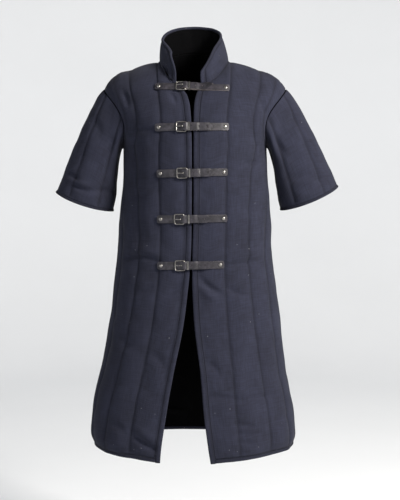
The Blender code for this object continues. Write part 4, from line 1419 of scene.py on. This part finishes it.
@dataclass
class Binding:
    """A strip of canvas folded over an edge and stitched through.

    Attributes:
        name: The piece's name, and its node's.
        outer: Points of the bound edge.
        inner: Points of the seam where the strip ends.
        outer_out: The way out of the cloth at the edge.
        inner_out: The same at the seam.
        round: Whether the strip closes on itself.
    """

    name: str
    outer: Array
    inner: Array
    outer_out: Array
    inner_out: Array
    round: bool = False
    thickness: float = 0.0008

    def build(self, finishes: Finishes) -> bpy.types.Object:
        """Fold the strip over its edge and dress it."""
        shares = np.array([station.inward for station in BINDING_PROFILE])
        rises = np.array([station.rise for station in BINDING_PROFILE])
        outer, inner = self.outer[:, None], self.inner[:, None]
        base = outer + (inner - outer) * shares[:, None]
        turned = np.clip(shares, 0, 1)[:, None]
        out = unit(self.outer_out[:, None] + (self.inner_out - self.outer_out)[:, None] * turned)
        uneven = 1 + 0.08 * grain(self.outer, 0.012, 6.0) + 0.14 * grain(self.outer, 0.04, 3.0)
        middle = -0.0035
        heights = middle + (rises - middle) * uneven[:, None]
        places = base + out * heights[..., None]
        if not self.round:
            tucked = base + out * middle
            places = np.concatenate([tucked[:1], places, tucked[-1:]])
        along = lengthwise(self.outer)
        if not self.round:
            along = np.concatenate([along[:1], along, along[-1:]])
        across = lengthwise(places)
        cloth = np.stack([across, np.broadcast_to(along[:, None], across.shape)], axis=-1)
        width = np.linalg.norm(self.outer - self.inner, axis=1).mean()
        seam = np.abs(shares - 0.86) * width
        stitch = np.stack([np.broadcast_to(seam, across.shape), cloth[..., 1]], axis=-1)
        centre = (self.outer * 0.6 + self.inner * 0.4) + (self.outer_out + self.inner_out) / 2 * middle
        away = unit(places[1:-1] - centre[:, None]) if not self.round else unit(places - centre[:, None])
        if not self.round:
            away = np.concatenate([away[:1], away, away[-1:]])
        shape = laid_grid(lowered(places), away, cloth, stitch)
        piece = settle(self.name + "_cloth", shape, (finishes.canvas,))
        wall = piece.modifiers.new("wall", "SOLIDIFY")
        wall.thickness = self.thickness
        wall.offset = -1
        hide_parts(self.name)
        return piece


class Tailor:
    """Cuts every cloth piece out of the sewn form."""

    def __init__(self, garment: Garment, finishes: Finishes) -> None:
        """Keep the form and the finishes."""
        self.garment = garment
        self.finishes = finishes
        self.edge_columns = 4
        self.hem_rows = 2

    def panels(self) -> list[bpy.types.Object]:
        """Build the fronts, the back, the sleeves and the collar."""
        g = self.garment
        made = []
        for side, net in g.fronts.items():
            part = net.cut(slice(self.hem_rows, None), slice(self.edge_columns, None))
            made.append(self._panel(f"front_{side.word}", part, self._front_fade))
        made.append(self._panel("back", g.back.cut(slice(self.hem_rows, None), slice(None)), self._back_fade))
        for side, net in g.sleeves.items():
            part = net.cut(slice(None, -2), slice(None))
            part.round = True
            made.append(self._panel(f"sleeve_{side.word}", part, None))
        part = g.collar.cut(slice(None, -2), slice(self.edge_columns, -self.edge_columns))
        made.append(self._panel("collar", part, None))
        return made

    def _panel(self, name: str, net: Net, fade: Callable[[Net], Array] | None) -> bpy.types.Object:
        """Build one panel and log the size of its cut."""
        across = lengthwise(net.points)
        along = lengthwise(net.points.swapaxes(0, 1))
        width, length = float(across[:, -1].max()), float(along[:, -1].max())
        steps = np.linalg.norm(
            np.cross(
                net.points[1:, :-1] - net.points[:-1, :-1], net.points[:-1, 1:] - net.points[:-1, :-1]
            ),
            axis=-1,
        )
        area = min(float(steps.sum()), width * length)
        piece = QuiltedPanel(name, net, (width, length), area, fade=fade).build(self.finishes)
        LOG.info("%s: cut %.3f x %.3f m, %.3f square metres", name, width, length, area)
        return piece

    def _front_fade(self, net: Net) -> Array:
        """Return how strong each quilting line is: the outermost one only reaches the waist."""
        strength = np.ones(net.points.shape[:2])
        high = np.clip((net.points[..., 2] - 0.52) / 0.1, 0, 1)
        outer = (net.columns > 9.5) & (net.columns < 12.5)
        return strength - high * outer[None, :] * 0.85

    def _back_fade(self, net: Net) -> Array:
        """Return how strong each quilting line of the back is."""
        strength = np.ones(net.points.shape[:2])
        high = np.clip((net.points[..., 2] - 0.70) / 0.1, 0, 1)
        outer = (np.abs(net.columns) > 8.5) & (np.abs(net.columns) < 11.5)
        return strength - high * outer[None, :] * 0.6

    def bindings(self) -> list[bpy.types.Object]:
        """Build the strips on the front edges, the hem, the cuffs and the collar."""
        g = self.garment
        made = []
        e, h = self.edge_columns, self.hem_rows
        for side, net in g.fronts.items():
            made.append(self._strip(f"binding_front_{side.word}", net, (slice(None), 0), (slice(None), e)))
            low = (0, slice(e, None)), (h, slice(e, None))
            made.append(self._strip(f"binding_hem_{side.word}", net, *low))
        made.append(self._strip("binding_hem_back", g.back, (0, slice(None)), (h, slice(None))))
        for side, net in g.sleeves.items():
            at = (-1, slice(None)), (-3, slice(None))
            made.append(self._strip(f"binding_cuff_{side.word}", net, *at, round=True))
        made.append(self._collar_strip())
        return made

    def _strip(self, name: str, net: Net, edge: Any, seam: Any, round: bool = False) -> bpy.types.Object:
        """Build one binding between two runs of a net's points."""
        strip = Binding(name, net.points[edge], net.points[seam], net.out[edge], net.out[seam], round)
        return strip.build(self.finishes)

    def _collar_strip(self) -> bpy.types.Object:
        """Build the binding that goes up one end of the collar, along its top and down the other."""
        net, e = self.garment.collar, self.edge_columns
        top = net.points.shape[0] - 1
        last = net.points.shape[1] - 1
        rise = list(range(0, top - 2))
        along = list(range(e + 1, last - e))
        edge = [(r, 0) for r in rise] + [(top, 0)] + [(top, c) for c in along] + [(top, last)]
        edge += [(r, last) for r in reversed(rise)]
        seam = [(r, e) for r in rise] + [(top - 2, e)] + [(top - 2, c) for c in along] + [(top - 2, last - e)]
        seam += [(r, last - e) for r in reversed(rise)]
        er, ec = np.array(edge).T
        sr, sc = np.array(seam).T
        strip = Binding(
            "binding_collar", net.points[er, ec], net.points[sr, sc], net.out[er, ec], net.out[sr, sc]
        )
        return strip.build(self.finishes)


# ------------------------------------------------------------------ straps and buckles


class StrapLine:
    """The line over the closed fronts that a tight strap follows."""

    def __init__(self, row: StrapRow, surface: BVHTree) -> None:
        """Look along the fronts at three levels and keep what a tight band would touch."""
        self.row = row
        self.edges = (-0.0095, 0.0095)
        self.sides = [self._look(surface, rise) for rise in self.edges]
        self.middle = self._look(surface, 0.0)

    def height(self, place: float) -> float:
        """Return the strap's height above the hem at a place."""
        row = self.row
        share = (place - row.right_end) / (row.left_end - row.right_end)
        return row.right_height + (row.left_height - row.right_height) * share

    def _look(self, surface: BVHTree, rise: float) -> Array:
        """Return the outermost (place, depth) points along the line, where a tight band touches."""
        hull: list[tuple[float, float]] = []
        for place in np.linspace(self.row.right_end, self.row.left_end, 73):
            start = Vector((place, -1.0, self.height(place) + rise - ORIGIN_HEIGHT))
            hit = surface.ray_cast(start, Vector((0, 1, 0)))[0]
            if hit is None:
                continue
            while len(hull) > 1:
                (a, low), (b, mid) = hull[-2:]
                if (mid - low) * (place - a) < (hit.y - low) * (b - a):
                    break
                hull.pop()
            hull.append((float(place), hit.y))
        return np.array(hull)

    def depth(self, place: float) -> float:
        """Return the Y where the strap's underside lies."""
        level = sum(np.interp(place, side[:, 0], side[:, 1]) for side in self.sides) / 2
        return float(min(level, np.interp(place, self.middle[:, 0], self.middle[:, 1])))

    def frame(self, place: float, lift: float) -> Matrix:
        """Return the frame at a place: X along the strap, Y across it, Z out of the cloth."""
        reach = 0.010
        low, high = (np.interp(place, side[:, 0], side[:, 1]) for side in self.sides)
        slope = (self.depth(place + reach) - self.depth(place - reach)) / (2 * reach)
        tilt = (self.height(place + reach) - self.height(place - reach)) / (2 * reach)
        along = Vector((1, slope, tilt)).normalized()
        across = Vector((0, (high - low) / (self.edges[1] - self.edges[0]), 1))
        across = (across - along * across.dot(along)).normalized()
        out = along.cross(across)
        origin = Vector((place, self.depth(place), self.height(place) - ORIGIN_HEIGHT)) + out * lift
        return Matrix.Translation(origin) @ Matrix((along, across, out)).transposed().to_4x4()


@dataclass
class Hardware:
    """Sizes that every fastening shares.

    Attributes:
        width: Width of the strap leather.
        leather: Its thickness.
        clearance: Space left between layers.
        buckle_long: The buckle's outside size along the strap.
        buckle_high: The same across it.
        buckle_corner: Radius of its corners, at the wire's middle.
        wire: Radius of its wire.
        prong: Radius of the prong.
        keeper_wall: Thickness of the keeper's band.
        keeper_width: Its width along the strap.
        fall: Length over which the chape comes down behind the hinge bar.
        turned_back: Length of the chape's folded end.
        rivet: Radius of a rivet's head.
        rivet_rise: Its height.
        rivet_inset: Distance from a strap's end to its rivet.
        hole: Radius of a punched hole.
    """

    width: float = 0.0196
    leather: float = 0.0020
    clearance: float = 0.0003
    buckle_long: float = 0.0266
    buckle_high: float = 0.0270
    buckle_corner: float = 0.0040
    wire: float = 0.0015
    prong: float = 0.0011
    keeper_wall: float = 0.0007
    keeper_width: float = 0.0036
    fall: float = 0.0060
    turned_back: float = 0.0250
    rivet: float = 0.0048
    rivet_rise: float = 0.0029
    rivet_inset: float = 0.0095
    hole: float = 0.0016


def eased(stops: Sequence[tuple[float, float]], place: float) -> float:
    """Return the lift at a place between (place, lift) stops, level outside them."""
    (before, low), rest = stops[0], stops[1:]
    for after, high in rest:
        if place <= after:
            share = max(0.0, (place - before) / (after - before))
            return low + (high - low) * (1 - math.cos(math.pi * share)) / 2
        before, low = after, high
    return low


class Fastening:
    """A tongue strap, chape, buckle, prong, keeper and two rivets on one line."""

    def __init__(self, row: StrapRow, surface: BVHTree, sizes: Hardware, finishes: Finishes) -> None:
        """Work out the lift of each layer over the cloth."""
        self.row = row
        self.sizes = s = sizes
        self.finishes = finishes
        self.line = StrapLine(row, surface)
        self.hinge = row.buckle + s.buckle_long / 2 - s.wire
        self.bar = row.buckle - s.buckle_long / 2 + s.wire
        layer = s.leather + s.clearance
        self.flat = s.clearance + s.leather
        low = self.flat + s.keeper_wall
        self.fold = s.wire + s.clearance + s.leather / 2
        self.wire_lift = low + self.fold - s.leather / 2
        top = self.wire_lift + self.fold + s.leather / 2
        end = self.hinge + s.turned_back
        self.lower = ((row.keeper + 0.006, low), (row.keeper + 0.020, self.flat))
        self.back = ((self.hinge, top), (self.hinge + s.fall, low + layer))
        self.tongue = (
            (self.bar + 0.002, self.flat + 0.0004),
            (self.hinge, top + layer + 0.0003),
            (self.hinge + s.fall, low + 2 * layer),
            (end + 0.001, low + 2 * layer),
            (end + 0.008, low + layer),
        )

    def build(self) -> list[bpy.types.Object]:
        """Build all seven pieces."""
        made = [self._strap(), self._chape(), self._buckle(), self._prong(), self._keeper()]
        return made + [self._rivet(side) for side in Side]

    def _tongue_lift(self, place: float) -> float:
        """Return the height of the tongue strap's upper face over the cloth."""
        free = (place - self.row.tip) / 0.030 + 1
        return eased(self.tongue, place) + self.row.curl * max(0.0, free) ** 1.5

    def _round_end(self, distance: float) -> float:
        """Return the half width near a strap's riveted end, a square with rounded corners."""
        half, corner = self.sizes.width / 2, 0.0055
        if distance >= corner:
            return half
        return half - corner + math.sqrt(max(0.0, corner ** 2 - (corner - distance) ** 2))

    def _pointed_end(self, distance: float) -> float:
        """Return the half width near the tongue's pointed tip."""
        half = self.sizes.width / 2
        return min(half, 0.10 * half + 0.90 * half * distance / 0.0115)

    def _leather_band(
        self, name: str, places: Sequence[float], lift: Callable[[float], float],
        half: Callable[[float], float], holes: Sequence[float] = (),
    ) -> bmesh.types.BMesh:
        """Lay the upper face of a band of leather.

        Args:
            name: What the band is, for the log.
            places: Rising places of its cross-sections.
            lift: Height of its upper face at a place.
            half: Half width at a place.
            holes: Places of punched holes.

        Returns:
            The face as a grid, with its holes cut out.
        """
        shares = np.array([-1.0, -0.97, -0.62, 0.0, 0.62, 0.97, 1.0])
        crown = np.array([-0.00028, -0.00006, 0.0, 0.0, 0.0, -0.00006, -0.00028])
        rows = []
        for place in places:
            turned = self.line.frame(place, lift(place))
            width = half(place)
            rows.append([turned @ Vector((0, width * a, c)) for a, c in zip(shares, crown)])
        grid = np.array(rows)
        shape = laid_grid(grid, np.broadcast_to((0.0, -1.0, 0.0), grid.shape))
        for hole in holes:
            self._punch(shape, grid, places, hole)
        LOG.debug("%s: %d sections", name, len(places))
        return shape

    def _punch(self, shape: bmesh.types.BMesh, grid: Array, places: Sequence[float], hole: float) -> None:
        """Cut a round hole at the band's middle."""
        row = int(np.argmin(np.abs(np.array(places) - hole)))
        centre = Vector(grid[row, 3])
        vertex = min(shape.verts, key=lambda v: (v.co - centre).length_squared)
        known = set(shape.faces)
        bmesh.ops.bevel(
            shape, geom=[vertex], offset=self.sizes.hole, segments=3, profile=0.5, affect="VERTICES",
            clamp_overlap=True, material=-1,
        )
        added = [f for f in shape.faces if f not in known]
        fresh = [f for f in added if (f.calc_center_median() - centre).length < 0.001]
        bmesh.ops.delete(shape, geom=fresh, context="FACES")

    def _leather(self, name: str, shape: bmesh.types.BMesh) -> bpy.types.Object:
        """Give a laid band its thickness, round its edges and dress it."""
        piece = settle(name + "_leather", shape, (self.finishes.leather, self.finishes.edge))
        wall = piece.modifiers.new("wall", "SOLIDIFY")
        wall.thickness = self.sizes.leather
        wall.offset = -1
        # the rims take the pale edge material, a painted highlight along the cut edges
        wall.material_offset_rim = 1
        edge = piece.modifiers.new("edge", "BEVEL")
        edge.width = 0.00035
        edge.segments = 2
        edge.limit_method = "ANGLE"
        edge.angle_limit = math.radians(50)
        edge.material = -1
        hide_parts(name)
        return piece

    def _spread(self, start: float, knees: Sequence[float], end: float, step: float = 0.0035) -> list[float]:
        """Return places of cross-sections from start to end, with one at each knee."""
        stops = [start] + sorted(k for k in knees if start < k < end) + [end]
        found = [start]
        for low, high in zip(stops, stops[1:]):
            count = max(1, round((high - low) / step))
            found += [low + (high - low) * i / count for i in range(1, count + 1)]
        return found

    def _strap(self) -> bpy.types.Object:
        """Build the tongue strap, with its holes and pointed tip."""
        row = self.row
        knees = [row.right_end + d for d in (0.0004, 0.0014, 0.003, 0.0055)]
        knees += [place for place, _ in self.tongue]
        knees += [self.hinge + self.sizes.fall * share for share in (0.25, 0.5, 0.75)]
        knees += [row.tip - 0.0115, *row.holes]
        places = self._spread(row.right_end, knees, row.tip)

        def half(place: float) -> float:
            """Return the strap's half width."""
            return min(self._round_end(place - row.right_end), self._pointed_end(row.tip - place))

        shape = self._leather_band(f"strap_{row.number}", places, self._tongue_lift, half, row.holes)
        return self._leather(f"strap_{row.number}", shape)

    def _chape(self) -> bpy.types.Object:
        """Build the chape: from its rivet to the hinge bar, round it and back under the tongue."""
        row, s = self.row, self.sizes
        inner = s.width / 2 - 0.0008
        knees = [row.left_end - d for d in (0.0004, 0.0014, 0.003, 0.0055)]
        knees += [place for place, _ in self.lower]
        sections = []
        for place in reversed(self._spread(self.hinge + 0.002, knees, row.left_end)):
            width = min(inner, self._round_end(row.left_end - place))
            sections.append((self.line.frame(place, eased(self.lower, place)), width))
        turned = self.line.frame(row.buckle, self.wire_lift)
        bar = Matrix.Translation((self.hinge - row.buckle, 0, 0))
        for degrees in range(0, 181, 20):
            spin = Matrix.Rotation(math.radians(degrees), 4, "Y")
            rim = Matrix.Translation((0, 0, -(self.fold - s.leather / 2)))
            sections.append((turned @ bar @ spin @ rim, inner))
        knees = [self.hinge + s.fall * share for share in (0.5, 0.75, 1.0)]
        for place in self._spread(self.hinge + s.fall * 0.25, knees, self.hinge + s.turned_back):
            lift = eased(self.back, place) - s.leather
            sections.append((self.line.frame(place, lift) @ Matrix.Rotation(math.pi, 4, "Y"), inner))
        shares = (-1, -0.97, -0.6, 0, 0.6, 0.97, 1)
        grid = np.array([[at @ Vector((0, width * a, 0)) for a in shares] for at, width in sections])
        out = np.array([[at.to_3x3().col[2] for _ in shares] for at, _ in sections])
        return self._leather(f"chape_{row.number}", laid_grid(grid, out))

    def _dress_metal(self, name: str, shape: bmesh.types.BMesh, place: Matrix) -> bpy.types.Object:
        """Put a metal piece in its place and dress it."""
        bmesh.ops.remove_doubles(shape, verts=shape.verts[:], dist=1e-6)
        bmesh.ops.recalc_face_normals(shape, faces=shape.faces[:])
        bmesh.ops.transform(shape, matrix=place, verts=shape.verts[:])
        piece = settle(name + "_metal", shape, (self.finishes.nickel,))
        piece.data.set_sharp_from_angle(angle=math.radians(40))
        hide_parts(name)
        return piece

    def _buckle(self) -> bpy.types.Object:
        """Bend the buckle's wire: a circle spun round each corner and drawn along each side."""
        s = self.sizes
        long, high = s.buckle_long / 2 - s.wire, s.buckle_high / 2 - s.wire
        corner = s.buckle_corner
        shape = bmesh.new()
        start = Matrix.Translation((long, -(high - corner), 0)) @ Matrix.Rotation(math.pi / 2, 4, "X")
        ring = bmesh.ops.create_circle(shape, segments=14, radius=s.wire, matrix=start)["verts"]
        edges = list({edge for vertex in ring for edge in vertex.link_edges})
        rise, reach = 2 * (high - corner), 2 * (long - corner)
        runs = ((0, rise), (-reach, 0), (0, -rise), (reach, 0))
        centres = ((1, 1), (-1, 1), (-1, -1), (1, -1))
        for run, (cx, cy) in zip(runs, centres):
            out = bmesh.ops.extrude_edge_only(shape, edges=edges)["geom"]
            moved = [item for item in out if isinstance(item, bmesh.types.BMVert)]
            bmesh.ops.translate(shape, verts=moved, vec=(run[0], run[1], 0))
            edges = [item for item in out if isinstance(item, bmesh.types.BMEdge)]
            edges = [e for e in edges if all(v in moved for v in e.verts)]
            centre = (cx * (long - corner), cy * (high - corner), 0)
            spun = bmesh.ops.spin(
                shape, geom=edges, cent=centre, axis=(0, 0, 1), angle=math.pi / 2, steps=6,
            )["geom_last"]
            edges = [item for item in spun if isinstance(item, bmesh.types.BMEdge)]
        place = self.line.frame(self.row.buckle, self.wire_lift)
        return self._dress_metal(f"buckle_{self.row.number}", shape, place)

    def _prong(self) -> bpy.types.Object:
        """Bend the prong: a loop round the hinge bar, then a pin up through the strap to the outer bar."""
        s = self.sizes
        shape = bmesh.new()
        reach = self.hinge - self.bar
        top = self._tongue_lift(self.hinge - 0.006) - self.wire_lift + s.prong
        rest = s.wire + s.prong + 0.0002
        ring = bmesh.ops.create_circle(
            shape, segments=10, radius=s.prong,
            matrix=Matrix.Translation((-0.0055, 0, top - 0.0035)) @ Matrix.Rotation(math.radians(60), 4, "Y"),
        )["verts"]
        edges = list({edge for vertex in ring for edge in vertex.link_edges})
        half_run = -(reach - 0.0095) / 2
        path = ((-0.0012, 0.0022), (-0.0026, 0.0013), (half_run, 0), (half_run, 0), (-0.0022, 0))
        drop = (top - rest) / 2
        lifts = (0.0, 0.0, -drop, -drop, -0.0003)
        widths = (1.0, 1.0, 0.96, 0.9, 0.55)
        centre = Vector((-0.0055, 0, top - 0.0035))
        for (dx, dz), lift, width in zip(path, lifts, widths):
            out = bmesh.ops.extrude_edge_only(shape, edges=edges)["geom"]
            moved = [item for item in out if isinstance(item, bmesh.types.BMVert)]
            bmesh.ops.translate(shape, verts=moved, vec=(dx, 0, dz + lift))
            centre += Vector((dx, 0, dz + lift))
            bmesh.ops.scale(
                shape, verts=moved, vec=(width, width, width), space=Matrix.Translation(-centre)
            )
            edges = [item for item in out if isinstance(item, bmesh.types.BMEdge)]
            edges = [e for e in edges if all(v in moved for v in e.verts)]
        bmesh.ops.holes_fill(shape, edges=shape.edges[:], sides=12)
        hinge = Matrix.Translation((self.hinge - self.row.buckle, 0, 0))
        place = self.line.frame(self.row.buckle, self.wire_lift) @ hinge
        return self._dress_metal(f"prong_{self.row.number}", shape, place)

    def _keeper(self) -> bpy.types.Object:
        """Bend the keeper: a flat band round the chape and the tongue."""
        s = self.sizes
        keeper = self.row.keeper
        top = self._tongue_lift(keeper - s.keeper_width / 2) + s.clearance + s.keeper_wall
        low = s.clearance
        half = s.width / 2 + s.clearance + s.keeper_wall
        shape = bmesh.new()
        size = Matrix.Diagonal((s.keeper_width, 2 * half, top - low, 1))
        bmesh.ops.create_cube(shape, size=1.0, matrix=Matrix.Translation((0, 0, (top + low) / 2)) @ size)
        ends = [face for face in shape.faces if abs(face.normal.x) > 0.9]
        bmesh.ops.inset_individual(shape, faces=ends, thickness=s.keeper_wall, use_even_offset=True)
        bmesh.ops.bridge_loops(shape, edges=[e for f in ends for e in f.edges])
        bmesh.ops.delete(shape, geom=ends, context="FACES_ONLY")
        corners = [e for e in shape.edges if abs((e.verts[0].co - e.verts[1].co).x) > 1e-4]
        bmesh.ops.bevel(
            shape, geom=corners, offset=0.0006, segments=2, profile=0.5, affect="EDGES", material=-1
        )
        return self._dress_metal(f"keeper_{self.row.number}", shape, self.line.frame(keeper, 0.0))

    def _rivet(self, side: Side) -> bpy.types.Object:
        """Spin a domed rivet head with a thin rim."""
        s = self.sizes
        if side is Side.RIGHT:
            place = self.row.right_end + s.rivet_inset
            lift = self._tongue_lift(place)
        else:
            place = self.row.left_end - s.rivet_inset
            lift = eased(self.lower, place)
        shape = bmesh.new()
        angles = np.linspace(0.12, math.pi / 2, 8)
        dome = [(s.rivet * math.cos(a), s.rivet_rise * math.sin(a)) for a in angles]
        profile = [(s.rivet, -0.0006), (s.rivet * 1.03, 0.0), *dome[:-1], (0.0, s.rivet_rise)]
        points = [shape.verts.new((x, 0, z)) for x, z in profile]
        for before, after in zip(points, points[1:]):
            shape.edges.new((before, after))
        bmesh.ops.spin(
            shape, geom=shape.verts[:] + shape.edges[:], cent=(0, 0, 0), axis=(0, 0, 1),
            angle=2 * math.pi, steps=24, use_merge=True,
        )
        bmesh.ops.holes_fill(shape, edges=shape.edges[:], sides=30)
        name = f"rivet_{self.row.number}_{side.word}"
        return self._dress_metal(name, shape, self.line.frame(place, lift + 0.0001))


def strap_surface(garment: Garment) -> BVHTree:
    """Return the outer faces of both fronts, for straps to lie on."""
    points: list[Vector] = []
    faces: list[tuple[int, ...]] = []
    for net in garment.fronts.values():
        rows, columns = net.points.shape[:2]
        base = len(points)
        lines = net.line_distances()
        raised = net.points + net.out * (-0.0020 * np.exp(-lines / 0.015))[..., None]
        points += [Vector(place) for place in lowered(raised).reshape(-1, 3)]
        for r in range(rows - 1):
            for c in range(columns - 1):
                at = base + r * columns + c
                faces.append((at, at + 1, at + columns + 1, at + columns))
    return BVHTree.FromPolygons(points, faces)


# ------------------------------------------------------------------ the studio


@dataclass
class Studio:
    """Pale paper sweep, soft lights and the camera.

    Attributes:
        eye: The camera's place.
        pitch: How many degrees it looks down.
        lens: Focal length in millimetres on a 36 mm wide sensor.
        floor: Height of the floor below the shoulders.
        flat: Radius of the floor's flat part.
        bend: Radius of its bend into the wall.
        wall: Height of the wall's top over the floor.
    """

    eye: tuple[float, float, float] = (0.013, -2.6, 0.658 - ORIGIN_HEIGHT)
    pitch: float = 3.28
    lens: float = 90.0
    floor: float = -1.42
    flat: float = 3.2
    bend: float = 1.6
    wall: float = 4.0

    def camera(self) -> None:
        """Place the camera."""
        data = bpy.data.cameras.new("camera")
        data.lens = self.lens
        data.sensor_width = 36.0
        data.sensor_fit = "HORIZONTAL"
        eye = bpy.data.objects.new("camera", data)
        eye.location = self.eye
        eye.rotation_euler = (math.radians(90 - self.pitch), 0, 0)
        bpy.context.scene.collection.objects.link(eye)
        bpy.context.scene.camera = eye

    def sweep(self, finishes: Finishes) -> bpy.types.Object:
        """Spin the paper: a round floor that bends up into a wall on every side."""
        shape = bmesh.new()
        turns = np.linspace(0, math.pi / 2, 13)
        arc = [(self.flat + self.bend * math.sin(t), self.bend * (1 - math.cos(t))) for t in turns]
        profile = [(0.0, 0.0), (self.flat / 2, 0.0), *arc, (self.flat + self.bend, self.wall)]
        points = [shape.verts.new((reach, 0, rise)) for reach, rise in profile]
        for before, after in zip(points, points[1:]):
            shape.edges.new((before, after))
        bmesh.ops.spin(
            shape, geom=shape.verts[:] + shape.edges[:], cent=(0, 0, 0), axis=(0, 0, 1),
            angle=2 * math.pi, steps=72, use_merge=True,
        )
        bmesh.ops.remove_doubles(shape, verts=shape.verts[:], dist=1e-6)
        mesh = bpy.data.meshes.new("paper_floor")
        shape.to_mesh(mesh)
        shape.free()
        mesh.shade_smooth()
        mesh.materials.append(finishes.paper)
        floor = bpy.data.objects.new("paper_floor", mesh)
        floor.location = (0, 0, self.floor)
        bpy.context.scene.collection.objects.link(floor)
        return floor

    def light(self, name: str, place: Sequence[float], size: float, power: float, tint: str) -> None:
        """Hang one soft square light that looks at the garment's middle."""
        data = bpy.data.lights.new(name, "AREA")
        data.shape = "SQUARE"
        data.size = size
        data.energy = power
        data.color = colour(tint)[:3]
        lamp = bpy.data.objects.new(name, data)
        lamp.location = place
        aim = Vector((0, 0, -0.4)) - Vector(place)
        lamp.rotation_euler = aim.to_track_quat("-Z", "Y").to_euler()
        bpy.context.scene.collection.objects.link(lamp)

    def air(self) -> None:
        """Fill the room with even pale light."""
        world = bpy.data.worlds.new("room")
        world.use_nodes = True
        ground = world.node_tree.nodes["Background"]
        ground.inputs["Color"].default_value = colour("#f6f5f2")
        ground.inputs["Strength"].default_value = 0.42
        bpy.context.scene.world = world

    def build(self, finishes: Finishes) -> None:
        """Build the whole studio."""
        self.camera()
        self.sweep(finishes)
        self.light("key", (2.3, -1.9, 1.2), 0.9, 290.0, "#fffaf2")
        self.light("fill", (-2.2, -2.6, 0.2), 2.0, 16.0, "#f2f6ff")
        self.air()
        bpy.context.scene.view_settings.view_transform = "Standard"


def main() -> None:
    """Build the studio, the cloth and the fastenings, and report each piece."""
    logging.basicConfig(level=logging.INFO, format="%(name)s: %(message)s", force=True)
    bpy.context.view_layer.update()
    finishes = Finishes()
    Studio().build(finishes)
    garment = Garment()
    tailor = Tailor(garment, finishes)
    made = tailor.panels() + tailor.bindings()
    surface = strap_surface(garment)
    for row in STRAPS:
        made += Fastening(row, surface, Hardware(), finishes).build()
    for piece in made:
        LOG.info("made %s with %d faces", piece.name, len(piece.data.polygons))
    bpy.context.view_layer.update()


if __name__ == "__main__":
    main()
